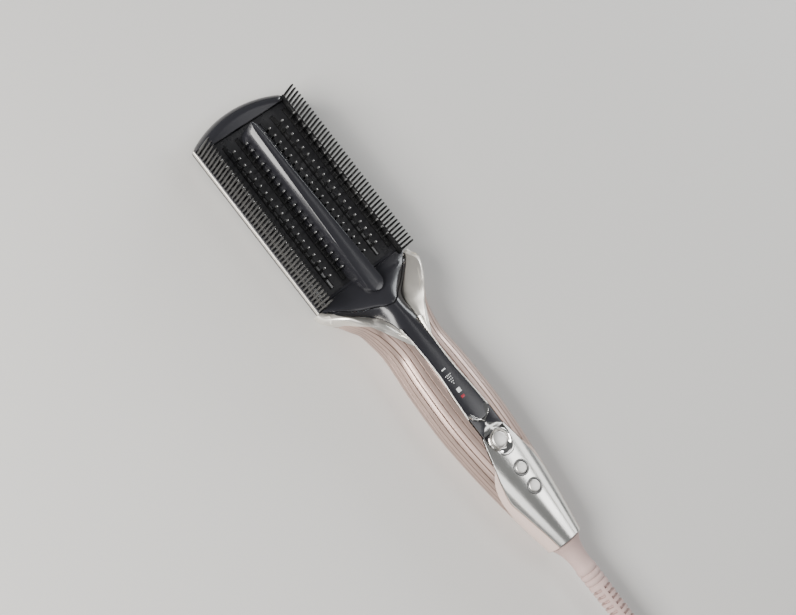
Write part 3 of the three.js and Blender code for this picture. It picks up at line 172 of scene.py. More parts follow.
@dataclass
class Skin:
    """Outer surface of the neck and handle, as the CAD model has it."""

    half: Line = field(
        default_factory=lambda: Line(
            (behind(-3), HEAD_HALF + 1.6),
            (behind(1), COLLAR_HALF),
            (behind(4.3), COLLAR_HALF - 0.4),
            (behind(8.4), COLLAR_HALF - 3.2),
            (behind(12), COLLAR_HALF - 6),
            (behind(16.2), WAIST_HALF + 6.8),
            (behind(21.3), WAIST_HALF + 3.2),
            (behind(27.5), WAIST_HALF + 1.3),
            (behind(38), WAIST_HALF),
            (from_tail(106), GRIP_HALF - 0.8),
            (from_tail(82), GRIP_HALF),
            (from_tail(60), GRIP_HALF - 1.3),
            (from_tail(39), TAIL_HALF + 6.3),
            (from_tail(18), TAIL_HALF + 3.2),
            (from_tail(0), TAIL_HALF),
        )
    )
    top: Line = field(
        default_factory=lambda: Line(
            (behind(-3), PLATE_TOP + 1.9),
            (behind(1), CREST_TOP - 11),
            (behind(4.3), CREST_TOP - 7),
            (behind(8.4), CREST_TOP - 2.8),
            (behind(12), CREST_TOP - 0.6),
            (behind(16.2), CREST_TOP),
            (behind(21.3), CREST_TOP),
            (behind(27.5), CREST_TOP - 1),
            (behind(36), CREST_TOP - 1.6),
            (behind(46), HANDLE_TOP),
            (from_tail(70), HANDLE_TOP),
            (from_tail(50), HANDLE_TOP - 0.5),
            (from_tail(20), TAIL_TOP + 1.1),
            (from_tail(0), TAIL_TOP),
        )
    )
    widest: Line = field(
        default_factory=lambda: Line(
            (behind(-3), AXIS_Z - 4.3),
            (behind(1), AXIS_Z - 3.7),
            (behind(8.4), AXIS_Z - 0.4),
            (behind(14), AXIS_Z + 0.2),
            (behind(26), AXIS_Z),
        )
    )
    bottom: Line = field(
        default_factory=lambda: Line(
            (from_tail(50), 0.0),
            (from_tail(28), TAIL_BOTTOM * 0.2),
            (from_tail(0), TAIL_BOTTOM),
        )
    )
    square: Line = field(
        default_factory=lambda: Line(
            (behind(-3), 3.2),
            (behind(3), 2.4),
            (behind(8.4), 1.75),
            (behind(18), 1.8),
            (behind(28), 2.2),
            (from_tail(20), 2.1),
        )
    )
    top_square: Line = field(
        default_factory=lambda: Line(
            (behind(-3), 3.2),
            (behind(4.3), 4.6),
            (behind(10), 7),
            (behind(17), 7),
            (behind(22), 5.6),
            (behind(27.5), 3.5),
            (behind(36), 2.7),
            (behind(46), 2.2),
            (from_tail(20), 2.1),
        )
    )
    known: dict[float, Section] = field(default_factory=dict)

    def section(self, y: float) -> Section:
        """The section at y, kept for the next call."""
        if y not in self.known:
            lines = (self.half, self.top, self.widest, self.bottom, self.square, self.top_square)
            self.known[y] = Section(*(line(y) for line in lines))
        return self.known[y]

    def point(self, y: float, angle: float, inset: float = 0.0) -> Vector:
        """A point of the skin, or of a surface further in.

        Args:
            y: Place along the handle.
            angle: Angle round the section from +X to +Z.
            inset: How far the point lies under the skin.

        Returns:
            The point.
        """
        at = self.section(y)
        c, s = math.cos(angle), math.sin(angle)
        power = 2 / (at.top_square if s >= 0 else at.square)
        height = at.top - at.widest if s >= 0 else at.widest - at.bottom
        x = (at.half - inset) * math.copysign(abs(c) ** power, c)
        z = at.widest + (height - inset) * math.copysign(abs(s) ** power, s)
        return Vector((x, y, z))

    def angle_at(self, y: float, x: float) -> float:
        """Angle, in the upper half of the section, where the skin stands at x.

        Args:
            y: Place along the handle.
            x: Distance from the middle.

        Returns:
            The angle round the section.
        """
        at = self.section(y)
        share = min(1.0, abs(x) / at.half)
        angle = math.acos(share ** (at.top_square / 2))
        return angle if x >= 0 else math.pi - angle

    def over(self, x: float, y: float, lift: float = 0.0) -> Vector:
        """Point at x and y on the skin's upper half, lifted straight up."""
        return self.point(y, self.angle_at(y, x)) + Vector((0, 0, lift))


SKIN = Skin()

# The black funnel and strip: half width, and height of the crown and of the edges
FUNNEL = Line(
    (behind(-0.4), HEAD_HALF),
    (behind(1.3), 29.1),
    (behind(5), 25.4),
    (behind(11), 18.3),
    (behind(16.2), 11.8),
    (behind(21.3), 8.6),
    (behind(27.5), 7),
    (behind(34), 6.1),
    (behind(42), STRIP_HALF + 0.4),
    (behind(54), STRIP_HALF),
    (from_tail(105), STRIP_HALF + 0.1),
    (from_tail(95), STRIP_HALF + 1),
    (from_tail(80), STRIP_HALF + 1.9),
)
CROWN = Line(
    (behind(-3), PLATE_TOP + 2.9),
    (behind(1), HANDLE_TOP - 8.8),
    (behind(8), HANDLE_TOP - 5.1),
    (behind(18), HANDLE_TOP - 0.9),
    (behind(28), HANDLE_TOP),
)
FUNNEL_Z = Line(
    (behind(-3), PLATE_TOP - 0.2),
    (behind(1.3), PLATE_TOP),
    (behind(5), HANDLE_TOP - 11.4),
    (behind(11), HANDLE_TOP - 10.6),
    (behind(16.2), HANDLE_TOP - 9.7),
    (behind(21.3), HANDLE_TOP - 6.2),
    (behind(27.5), HANDLE_TOP - 2.7),
    (behind(36), HANDLE_TOP - 1),
)
# Where the grips begin: half width along the strip, then an angle round the section at the neck
GRIP_EDGE = Line(
    (behind(42), STRIP_HALF + 0.4 + RIM_WIDTH),
    (behind(54), STRIP_HALF + RIM_WIDTH),
    (from_tail(105), STRIP_HALF + RIM_WIDTH + 0.1),
    (from_tail(95), STRIP_HALF + RIM_WIDTH + 1),
    (from_tail(80), STRIP_HALF + RIM_WIDTH + 1.9),
)
NECK_ANGLES_Y = behind(42)
NECK_ANGLE = Line(
    (behind(9), -5),
    (behind(12.6), 2),
    (behind(15.7), 12),
    (behind(18.4), 27),
    (behind(20.8), 38),
    (behind(23.9), 44),
    (behind(28.5), 51),
    (behind(32.6), 58),
    (behind(36.7), 64),
    (NECK_ANGLES_Y, math.degrees(SKIN.angle_at(NECK_ANGLES_Y, GRIP_EDGE(NECK_ANGLES_Y) + SEAM))),
)
# Half width of the tail plate, and Y of the shoulder plate's rear edge by the distance from the middle
PLATE_EDGE = Line(
    (from_tail(70), SURROUND_HALF + 0.8),
    (from_tail(63), SURROUND_HALF + 2.6),
    (from_tail(51.5), SURROUND_HALF + 5.2),
    (from_tail(43.5), SURROUND_HALF + 6.9),
    (from_tail(33.5), SURROUND_HALF + 7.8),
    (from_tail(28), SURROUND_HALF + 6.9),
    (from_tail(18), SURROUND_HALF + 4.9),
    (from_tail(8), SURROUND_HALF + 2.9),
    (from_tail(0), SURROUND_HALF + 1.5),
)
SHOULDER_EDGE = Line(
    (0, behind(18.2)),
    (4, behind(17)),
    (7.6, behind(14.7)),
    (14.9, behind(11)),
    (22, behind(5.6)),
    (HEAD_HALF, behind(-0.4)),
)


def grip_angle(y: float) -> float:
    """Angle round the section where the grips begin."""
    if y > NECK_ANGLES_Y:
        return math.radians(NECK_ANGLE(y))
    return SKIN.angle_at(y, GRIP_EDGE(y) + SEAM)


def roof(x: float, y: float, lift: float = 0.0) -> Vector:
    """Point of the funnel, strip or shoulder plate: on the skin along the handle, sunk at the neck.

    Args:
        x: Distance from the middle.
        y: Place along the handle.
        lift: How far the point is raised.

    Returns:
        The point.
    """
    share = min(1.0, abs(x) / FUNNEL(y))
    sunk = lerp(CROWN(y), FUNNEL_Z(y), share**2.2)
    blend = smooth((y - behind(50)) / (behind(36) - behind(50)))
    return Vector((x, y, lerp(SKIN.over(x, y).z, sunk, blend) + lift))


class Nodes:
    """Adds and joins the nodes of one shader tree."""

    def __init__(self, tree: bpy.types.NodeTree) -> None:
        """Work in this tree."""
        self.tree = tree

    def add(self, kind: str, **settings: object) -> bpy.types.Node:
        """Add a node.

        Args:
            kind: Blender's name for the kind of node.
            settings: The node's own settings by name.

        Returns:
            The node.
        """
        node = self.tree.nodes.new(kind)
        for name, value in settings.items():
            setattr(node, name, value)
        return node

    def join(self, source: Socket, target: Socket) -> None:
        """Link two sockets."""
        self.tree.links.new(source, target)

    def put(self, socket: Socket, value: Input) -> None:
        """Fill one input.

        Args:
            socket: The input.
            value: A socket to link or a value to set.
        """
        if isinstance(value, bpy.types.NodeSocket):
            self.join(value, socket)
        else:
            socket.default_value = value

    def feed(self, node: bpy.types.Node, **inputs: Input) -> bpy.types.Node:
        """Give a node its inputs.

        Args:
            node: The node to feed.
            inputs: A socket to link or a value to set, by input name with spaces as underscores.

        Returns:
            The node.
        """
        for name, value in inputs.items():
            self.put(node.inputs[name.replace("_", " ")], value)
        return node

    def maths(self, operation: str, *values: Input) -> Socket:
        """Calculate with sockets or numbers.

        Args:
            operation: Blender's name for the operation.
            values: What it works on, in order.

        Returns:
            The result.
        """
        node = self.add("ShaderNodeMath", operation=operation)
        for socket, value in zip(node.inputs, values):
            self.put(socket, value)
        return node.outputs[0]

    def remap(self, value: Input, low: float, high: float, to: Sequence[Input] = (0.0, 1.0)) -> Socket:
        """Map a value from one range to another, held at its ends.

        Args:
            value: The value.
            low: Start of its range.
            high: End of its range.
            to: Start and end of the new range.

        Returns:
            The mapped value.
        """
        node = self.add("ShaderNodeMapRange", clamp=True)
        self.feed(node, Value=value, From_Min=low, From_Max=high, To_Min=to[0], To_Max=to[1])
        return node.outputs["Result"]

    def noise(self, vector: Socket, scale: Input, detail: float = 3.0) -> Socket:
        """Make noise from 0 to 1.

        Args:
            vector: Place on the piece.
            scale: Size of the pattern, in 1/m.
            detail: How many finer layers it has.

        Returns:
            The noise.
        """
        node = self.add("ShaderNodeTexNoise")
        self.feed(node, Vector=vector, Scale=scale, Detail=detail)
        return node.outputs["Fac"]

    def stretched(self, vector: Socket, scale: Sequence[float]) -> Socket:
        """A vector scaled along each axis."""
        node = self.feed(self.add("ShaderNodeMapping"), Vector=vector, Scale=Vector(scale))
        return node.outputs["Vector"]

    def blend(self, share: Input, a: Input, b: Input) -> Socket:
        """Mix two colours.

        Args:
            share: 0 for the first colour and 1 for the second.
            a: The first colour.
            b: The second colour.

        Returns:
            The colour between them.
        """
        node = self.add("ShaderNodeMix", data_type="RGBA")
        for socket, value in zip((node.inputs[0], node.inputs[6], node.inputs[7]), (share, a, b)):
            self.put(socket, value)
        return node.outputs[2]


class EffectGroups:
    """Shader node groups that several finishes share, each built once."""

    def __init__(self) -> None:
        """Start with no group built."""
        self.built: dict[str, bpy.types.NodeTree] = {}

    def _tree(
        self, name: str, ins: dict[str, tuple[str, Input | None]], outs: dict[str, str]
    ) -> tuple[bpy.types.NodeTree, Nodes, bpy.types.Node, bpy.types.Node]:
        """An empty group with its sockets.

        Args:
            name: Name of the group.
            ins: Socket type and default of each input.
            outs: Socket type of each output.

        Returns:
            The tree, its nodes, the group's inputs and the group's outputs.
        """
        tree = bpy.data.node_groups.new(name, "ShaderNodeTree")
        for label, (kind, value) in ins.items():
            socket = tree.interface.new_socket(label, in_out="INPUT", socket_type=kind)
            if value is not None:
                socket.default_value = value
        for label, kind in outs.items():
            tree.interface.new_socket(label, in_out="OUTPUT", socket_type=kind)
        nodes = Nodes(tree)
        self.built[name] = tree
        return tree, nodes, nodes.add("NodeGroupInput"), nodes.add("NodeGroupOutput")

    def handling(self) -> bpy.types.NodeTree:
        """Faint smears and hairlines from handling.

        Returns:
            The group, with a roughness and a mask of the hairlines.
        """
        if "handling" in self.built:
            return self.built["handling"]
        ins = {
            "Vector": ("NodeSocketVector", None),
            "Low": ("NodeSocketFloat", 0.2),
            "High": ("NodeSocketFloat", 0.3),
            "Smear Scale": ("NodeSocketFloat", 70.0),
        }
        outs = {"Roughness": "NodeSocketFloat", "Hairlines": "NodeSocketFloat"}
        tree, nodes, given, made = self._tree("handling", ins, outs)
        vector = given.outputs["Vector"]
        smear = nodes.noise(vector, given.outputs["Smear Scale"], 4.0)
        wide = nodes.remap(smear, 0.35, 0.7)
        smeared = nodes.remap(wide, 0.0, 1.0, (given.outputs["Low"], given.outputs["High"]))
        lines = nodes.noise(nodes.stretched(vector, (900, 60, 900)), 1.0, 2.0)
        hair = nodes.remap(lines, 0.66, 0.74)
        nodes.join(nodes.maths("MULTIPLY_ADD", hair, 0.04, smeared), made.inputs["Roughness"])
        nodes.join(hair, made.inputs["Hairlines"])
        return tree

    def grain(self) -> bpy.types.NodeTree:
        """Fine and coarse grain of a surface.

        Returns:
            The group, with a height from 0 to 1.
        """
        if "grain" in self.built:
            return self.built["grain"]
        ins = {
            "Vector": ("NodeSocketVector", None),
            "Scale": ("NodeSocketFloat", 1.0),
            "Coarse Share": ("NodeSocketFloat", 0.3),
        }
        tree, nodes, given, made = self._tree("grain", ins, {"Height": "NodeSocketFloat"})
        vector, scale = given.outputs["Vector"], given.outputs["Scale"]
        fine = nodes.noise(vector, scale, 3.0)
        coarse = nodes.noise(vector, nodes.maths("MULTIPLY", scale, 0.17), 2.0)
        mixed = nodes.add("ShaderNodeMix", data_type="FLOAT")
        nodes.feed(mixed, Factor=given.outputs["Coarse Share"])
        nodes.join(fine, mixed.inputs[2])
        nodes.join(coarse, mixed.inputs[3])
        nodes.join(mixed.outputs[0], made.inputs["Height"])
        return tree

    def shade_drift(self) -> bpy.types.NodeTree:
        """Slow drift of a colour towards a second one, with a dusty veil in patches.

        Returns:
            The group, with the colour.
        """
        if "shade_drift" in self.built:
            return self.built["shade_drift"]
        ins = {
            "Vector": ("NodeSocketVector", None),
            "Colour": ("NodeSocketColor", (0.5, 0.5, 0.5, 1)),
            "Second": ("NodeSocketColor", (0.4, 0.4, 0.4, 1)),
            "Dust": ("NodeSocketFloat", 0.0),
        }
        tree, nodes, given, made = self._tree("shade_drift", ins, {"Colour": "NodeSocketColor"})
        vector = given.outputs["Vector"]
        share = nodes.remap(nodes.noise(vector, 45.0, 3.0), 0.3, 0.7)
        drift = nodes.blend(share, given.outputs["Colour"], given.outputs["Second"])
        specks = nodes.remap(nodes.noise(vector, 2600.0, 2.0), 0.62, 0.72)
        patches = nodes.remap(nodes.noise(vector, 38.0, 2.0), 0.45, 0.75)
        amount = nodes.maths("MULTIPLY", nodes.maths("MULTIPLY", specks, patches), given.outputs["Dust"])
        nodes.join(nodes.blend(amount, drift, (0.62, 0.6, 0.57, 1)), made.inputs["Colour"])
        return tree

    def place(self, nodes: Nodes, tree: bpy.types.NodeTree, **inputs: Input) -> bpy.types.Node:
        """One use of a group in a material, with its own values."""
        node = nodes.add("ShaderNodeGroup", node_tree=tree)
        return nodes.feed(node, **inputs)


EFFECTS = EffectGroups()


class Grain(Enum):
    """Direction and scale of a surface's grain: stretch per axis and scale in 1/m."""

    POLISHED = ((1.0, 1.0, 1.0), 420.0)
    MOULDED = ((1.0, 1.0, 1.0), 2600.0)
    SPRAYED = ((1.0, 1.0, 1.0), 5200.0)
    DRAWN = ((1.0, 0.03, 1.0), 4200.0)
    TURNED = ((1.0, 1.0, 1.0), 3000.0)


@dataclass(frozen=True)
class Finish:
    """A finish with drifting colour, uneven gloss and fine relief."""

    name: str
    slot: str
    colour: Colour
    second: Colour
    metallic: float = 0.0
    gloss: tuple[float, float] = (0.25, 0.4)
    grain: Grain = Grain.MOULDED
    relief: float = 0.01
    coat: float = 0.0
    dust: float = 0.0
    specular: float = 0.5
    transmission: float = 0.0

    def colour_socket(self, nodes: Nodes, vector: Socket) -> Socket:
        """The drifting colour of the surface.

        Args:
            nodes: Nodes of the material.
            vector: Place on the piece.

        Returns:
            The colour.
        """
        tint = EFFECTS.place(
            nodes,
            EFFECTS.shade_drift(),
            Vector=vector,
            Colour=(*self.colour, 1),
            Second=(*self.second, 1),
            Dust=self.dust,
        )
        return tint.outputs["Colour"]

    def height_socket(self, nodes: Nodes, vector: Socket) -> Socket:
        """The fine relief of the surface.

        Args:
            nodes: Nodes of the material.
            vector: Place on the piece.

        Returns:
            The height, in shares of the relief.
        """
        stretch, scale = self.grain.value
        way = nodes.stretched(vector, stretch)
        grain = EFFECTS.place(nodes, EFFECTS.grain(), Vector=way, Scale=scale)
        return grain.outputs["Height"]

    def rough_socket(self, nodes: Nodes, vector: Socket) -> Socket:
        """Roughness with smears and hairlines.

        Args:
            nodes: Nodes of the material.
            vector: Place on the piece.

        Returns:
            The roughness.
        """
        low, high = self.gloss
        worn = EFFECTS.place(nodes, EFFECTS.handling(), Vector=vector, Low=low, High=high)
        return worn.outputs["Roughness"]

    def build(self) -> bpy.types.Material:
        """Make the material, or find it when it is made already.

        Returns:
            The material.
        """
        if self.name in bpy.data.materials:
            return bpy.data.materials[self.name]
        material = bpy.data.materials.new(self.name)
        material.use_nodes = True
        nodes = Nodes(material.node_tree)
        shader = material.node_tree.nodes["Principled BSDF"]
        vector = nodes.add("ShaderNodeTexCoord").outputs["Object"]
        bump = nodes.add("ShaderNodeBump")
        height = self.height_socket(nodes, vector)
        nodes.feed(bump, Strength=1.0, Distance=self.relief * MM, Height=height)
        nodes.feed(
            shader,
            Base_Color=self.colour_socket(nodes, vector),
            Roughness=self.rough_socket(nodes, vector),
            Normal=bump.outputs["Normal"],
            Metallic=self.metallic,
            Coat_Weight=self.coat,
            Coat_Roughness=0.04,
            Specular_IOR_Level=self.specular,
            Transmission_Weight=self.transmission,
        )
        material.diffuse_color = (*self.colour, 1)
        return material


@dataclass(frozen=True)
class RibbedFinish(Finish):
    """The grips' finish: fine ribs follow the arc length that the mesh keeps as an attribute, with painted
    shade in the grooves.
    """

    # Dark colour of the painted shade in the grooves (the ribs take a share of it too); tint scales how
    # much is painted
    painted_groove_shade: Colour = (0.13, 0.075, 0.06)
    pitch: float = 2.3
    width: float = 0.26
    shade: float = 0.5
    tint: float = 0.8
    grain_share: float = 0.03

    def _groove(self, nodes: Nodes) -> Socket:
        """Depth of the pattern.

        Args:
            nodes: Nodes of the material.

        Returns:
            The shade's share on a rib, one more in a groove, and 0 where the ribs fade out.
        """
        arc = nodes.add("ShaderNodeAttribute", attribute_name="arc").outputs["Fac"]
        fade = nodes.add("ShaderNodeAttribute", attribute_name="fade").outputs["Fac"]
        phase = nodes.maths("FRACT", nodes.maths("DIVIDE", arc, self.pitch))
        away = nodes.maths("ABSOLUTE", nodes.maths("SUBTRACT", phase, 0.5))
        near = nodes.remap(away, 0.0, self.width / 2, (1.0, 0.0))
        return nodes.maths("MULTIPLY", nodes.maths("ADD", near, self.shade), fade)

    def colour_socket(self, nodes: Nodes, vector: Socket) -> Socket:
        """Colour with painted shade: it darkens in the grooves, where shade falls.

        Args:
            nodes: Nodes of the material.
            vector: Place on the piece.

        Returns:
            The colour.
        """
        base = super().colour_socket(nodes, vector)
        # Painted shade: blend towards the dark groove colour, fully in the grooves where shade falls
        share = nodes.maths("MULTIPLY", self._groove(nodes), self.tint)
        return nodes.blend(share, base, (*self.painted_groove_shade, 1))

    def height_socket(self, nodes: Nodes, vector: Socket) -> Socket:
        """Ribs with the sprayed grain on top.

        Args:
            nodes: Nodes of the material.
            vector: Place on the piece.

        Returns:
            The height, in shares of the relief.
        """
        fine = nodes.maths("MULTIPLY", super().height_socket(nodes, vector), self.grain_share)
        ribs = nodes.maths("SUBTRACT", 1.0, self._groove(nodes))
        return nodes.maths("ADD", ribs, fine)


GLOSS_BLACK = Finish(
    "gloss_black", "gloss_black", (0.004, 0.004, 0.005), (0.007, 0.007, 0.008),
    gloss=(0.04, 0.075), grain=Grain.POLISHED, relief=0.003, coat=0.1, dust=0.03,
)
COMB_BLACK = Finish(
    "comb_black", "gloss_black", (0.008, 0.008, 0.009), (0.013, 0.013, 0.013),
    gloss=(0.16, 0.26), grain=Grain.MOULDED, relief=0.006, coat=0.15, dust=0.05,
)
PLATE_COAT = Finish(
    "plate_coat", "heated_plate", (0.012, 0.012, 0.014), (0.02, 0.02, 0.022),
    metallic=0.2, gloss=(0.24, 0.38), grain=Grain.SPRAYED, relief=0.012, dust=0.12,
)
CHAMPAGNE = Finish(
    "champagne_satin", "satin_silver", (0.86, 0.825, 0.765), (0.82, 0.785, 0.72),
    metallic=0.8, gloss=(0.3, 0.38), grain=Grain.DRAWN, relief=0.004,
)
TAIL_SILVER = Finish(
    "tail_silver", "satin_silver", (0.85, 0.84, 0.805), (0.81, 0.8, 0.765),
    metallic=0.94, gloss=(0.2, 0.24), grain=Grain.DRAWN, relief=0.004,
)
ROSE_RIBS = RibbedFinish(
    "rose_gold_ribs", "rose_gold", (0.71, 0.535, 0.47), (0.67, 0.5, 0.435),
    metallic=0.65, gloss=(0.28, 0.38), grain=Grain.SPRAYED, relief=0.26, coat=0.1,
)
PALE_ROSE = Finish(
    "pale_rose", "pale_rose", (0.5, 0.365, 0.31), (0.46, 0.335, 0.285),
    metallic=0.5, gloss=(0.26, 0.36), grain=Grain.SPRAYED, relief=0.006, coat=0.15,
)
CHROME = Finish(
    "chrome", "chrome", (0.86, 0.85, 0.83), (0.82, 0.81, 0.79),
    metallic=1.0, gloss=(0.04, 0.08), grain=Grain.POLISHED, relief=0.003,
)
BUTTON_SILVER = Finish(
    "button_silver", "button_silver", (0.84, 0.83, 0.81), (0.8, 0.79, 0.77),
    metallic=0.95, gloss=(0.14, 0.2), grain=Grain.TURNED, relief=0.003,
)
RING_GREY = Finish(
    "ring_grey", "ring_grey", (0.13, 0.13, 0.125), (0.15, 0.15, 0.145),
    metallic=0.7, gloss=(0.25, 0.35), grain=Grain.TURNED, relief=0.004,
)
DUSTY_PINK = Finish(
    "dusty_pink", "dusty_pink", (0.18, 0.115, 0.096), (0.158, 0.1, 0.083),
    gloss=(0.5, 0.62), grain=Grain.MOULDED, relief=0.02, dust=0.25, specular=0.35,
)
PIN_TIP = Finish(
    "pin_tip", "bright_pin", (0.85, 0.85, 0.84), (0.8, 0.8, 0.79),
    metallic=0.9, gloss=(0.1, 0.16), grain=Grain.TURNED, relief=0.003,
)
STEEL = Finish(
    "plain_steel", "steel", (0.55, 0.55, 0.54), (0.47, 0.47, 0.46),
    metallic=1.0, gloss=(0.28, 0.4), grain=Grain.TURNED, relief=0.006,
)
BRASS = Finish(
    "plain_brass", "brass", (0.72, 0.55, 0.26), (0.64, 0.48, 0.22),
    metallic=1.0, gloss=(0.22, 0.34), grain=Grain.DRAWN, relief=0.005,
)
DARK_PLASTIC = Finish(
    "dark_plastic", "dark_plastic", (0.03, 0.03, 0.032), (0.042, 0.042, 0.042),
    gloss=(0.42, 0.55), grain=Grain.MOULDED, relief=0.02,
)
CLEAR_PLASTIC = Finish(
    "clear_plastic", "clear_plastic", (0.72, 0.8, 0.84), (0.68, 0.76, 0.8),
    gloss=(0.06, 0.12), grain=Grain.POLISHED, relief=0.004, transmission=0.8,
)
BOARD_GREEN = Finish(
    "board_green", "board_green", (0.02, 0.11, 0.045), (0.015, 0.085, 0.035),
    gloss=(0.25, 0.36), grain=Grain.SPRAYED, relief=0.01, coat=0.3,
)
CERAMIC = Finish(
    "heater_ceramic", "ceramic", (0.74, 0.7, 0.62), (0.68, 0.64, 0.57),
    gloss=(0.45, 0.6), grain=Grain.MOULDED, relief=0.02, dust=0.2,
)
INSULATION = Finish(
    "insulation_sheet", "insulation", (0.55, 0.47, 0.33), (0.48, 0.41, 0.28),
    gloss=(0.7, 0.85), grain=Grain.SPRAYED, relief=0.06,
)
SILICONE = Finish(
    "dark_silicone", "silicone", (0.06, 0.055, 0.055), (0.075, 0.07, 0.07),
    gloss=(0.45, 0.58), grain=Grain.MOULDED, relief=0.02, dust=0.15,
)
LAMP_WHITE = Finish(
    "lamp_white", "clear_plastic", (0.82, 0.84, 0.84), (0.76, 0.78, 0.78),
    gloss=(0.2, 0.3), grain=Grain.POLISHED, relief=0.002,
)
LAMP_RED = Finish(
    "lamp_red", "clear_plastic", (0.36, 0.03, 0.045), (0.3, 0.02, 0.035),
    gloss=(0.2, 0.3), grain=Grain.POLISHED, relief=0.002,
)

CAD_FINISHES: dict[Finish, tuple[str, ...]] = {
    PLATE_COAT: ("heat_plate",),
    CERAMIC: ("heater_left", "heater_right", "thermal_fuse"),
    INSULATION: ("heater_insulator",),
    DARK_PLASTIC: (
        "temperature_sensor", "power_switch", "level_up_switch", "level_down_switch",
        "chassis", "power_module", "mist_chamber", "cord_clamp",
    ),
    BOARD_GREEN: ("button_board", "display_board", "main_board", "disc_driver_board"),
    CLEAR_PLASTIC: ("light_guide", "water_tank"),
    SILICONE: ("disc_seal",),
    BRASS: ("ultrasonic_disc",),
}


def sheet(across: int, along: int, place: Place) -> bmesh.types.BMesh:
    """A grid laid on a surface.

    Args:
        across: Faces across.
        along: Faces along.
        place: Gives the point for a share across and a share along.

    Returns:
        The grid, still without a wall.
    """
    bm = bmesh.new()
    bmesh.ops.create_grid(bm, x_segments=across, y_segments=along, size=0.5)
    for vert in bm.verts:
        vert.co = place(vert.co.x + 0.5, vert.co.y + 0.5)
    return bm


def soften(bm: bmesh.types.BMesh, width: float, angle: float = 50.0) -> None:
    """Round the sharp edges.

    Args:
        bm: The shape.
        width: Width of the rounding.
        angle: Edges that turn by more than this are rounded.
    """
    limit = math.radians(angle)
    sharp = [edge for edge in bm.edges if edge.calc_face_angle(0.0) > limit]
    bmesh.ops.bevel(
        bm,
        geom=sharp,
        offset=width,
        offset_type="OFFSET",
        segments=2,
        profile=0.5,
        affect="EDGES",
        material=-1,
        clamp_overlap=True,
    )


def thickened(bm: bmesh.types.BMesh, wall: float, axis_z: float = AXIS_Z) -> bmesh.types.BMesh:
    """Turn a sheet's faces away from an axis, and give it a wall towards the axis.

    Args:
        bm: The open sheet.
        wall: Thickness of the wall.
        axis_z: Height of the axis, which runs along the comb.

    Returns:
        The same mesh.
    """
    bm.normal_update()
    outward = 0.0
    for face in bm.faces:
        middle = face.calc_center_median()
        outward += face.normal.dot(Vector((middle.x, 0, middle.z - axis_z))) * face.calc_area()
    if outward < 0:
        bmesh.ops.reverse_faces(bm, faces=bm.faces[:])
    bmesh.ops.solidify(bm, geom=bm.faces[:], thickness=wall)
    return bm


def walled(
    bm: bmesh.types.BMesh, wall: float, edge: float = 0.25, axis_z: float = AXIS_Z
) -> bmesh.types.BMesh:
    """Give a sheet its wall and round its rim.

    Args:
        bm: The open sheet.
        wall: Thickness of the wall.
        edge: Width of the rim's rounding.
        axis_z: Height of the axis that the wall lies towards.

    Returns:
        The same mesh.
    """
    thickened(bm, wall, axis_z)
    bm.normal_update()
    soften(bm, edge)
    return bm


def ring_of(bm: bmesh.types.BMesh, points: Iterable[Sequence[float]]) -> list[bmesh.types.BMEdge]:
    """A closed loop of edges through the points."""
    verts = [bm.verts.new(point) for point in points]
    return [bm.edges.new((a, b)) for a, b in zip(verts, verts[1:] + verts[:1])]


def stacked(rings: Sequence[Iterable[Sequence[float]]], closed: bool = False) -> bmesh.types.BMesh:
    """A body whose rings are bridged in order.

    Args:
        rings: Loops with the same count of points.
        closed: True when the last loop joins the first, as in a frame; else both ends are capped.

    Returns:
        The closed body with its faces outwards.
    """
    bm = bmesh.new()
    loops = [ring_of(bm, points) for points in rings]
    pairs = list(zip(loops, loops[1:])) + ([(loops[-1], loops[0])] if closed else [])
    for low, high in pairs:
        bmesh.ops.bridge_loops(bm, edges=low + high)
    if not closed:
        bmesh.ops.contextual_create(bm, geom=loops[0])
        bmesh.ops.contextual_create(bm, geom=loops[-1])
    bmesh.ops.recalc_face_normals(bm, faces=bm.faces[:])
    return bm


def turned(
    profile: Sequence[tuple[float, float]], axis: Vector, centre: Vector, steps: int = 48
) -> bmesh.types.BMesh:
    """A body turned round an axis.

    Args:
        profile: Pairs of radius and height along the axis.
        axis: Unit vector of the axis.
        centre: The axis passes here, and heights are measured from it.
        steps: Faces round the axis.

    Returns:
        The closed body with its faces outwards.
    """
    bm = bmesh.new()
    side = axis.orthogonal().normalized()
    verts = [bm.verts.new(centre + side * radius + axis * height) for radius, height in profile]
    edges = [bm.edges.new(pair) for pair in zip(verts, verts[1:])]
    bmesh.ops.spin(
        bm,
        geom=verts + edges,
        cent=centre,
        axis=axis,
        angle=2 * math.pi,
        steps=steps,
        use_merge=True,
    )
    bmesh.ops.remove_doubles(bm, verts=bm.verts[:], dist=1e-4)
    bmesh.ops.recalc_face_normals(bm, faces=bm.faces[:])
    return bm


def rod(
    radius: float, low: float, high: float, axis: Vector, centre: Vector, steps: int
) -> bmesh.types.BMesh:
    """A plain round rod between two heights on an axis."""
    return turned([(0, low), (radius, low), (radius, high), (0, high)], axis, centre, steps)


def block(low: Sequence[float], high: Sequence[float], edge: float = 0.0) -> bmesh.types.BMesh:
    """A block between two corners.

    Args:
        low: The corner with the lowest coordinates.
        high: The corner with the highest.
        edge: Width of its edges' rounding, or 0 for sharp edges.

    Returns:
        The block.
    """
    bm = bmesh.new()
    size = Vector(high) - Vector(low)
    middle = (Vector(high) + Vector(low)) / 2
    matrix = Matrix.Translation(middle) @ Matrix.Diagonal((*size, 1))
    bmesh.ops.create_cube(bm, size=1.0, matrix=matrix)
    if edge > 0:
        soften(bm, edge)
    return bm


def gather(parts: Iterable[bmesh.types.BMesh]) -> bmesh.types.BMesh:
    """Put several bodies in one mesh.

    Args:
        parts: The bodies, used up.

    Returns:
        The mesh of all.
    """
    whole = bmesh.new()
    for part in parts:
        mesh = bpy.data.meshes.new("part")
        part.to_mesh(mesh)
        part.free()
        whole.from_mesh(mesh)
        bpy.data.meshes.remove(mesh)
    return whole


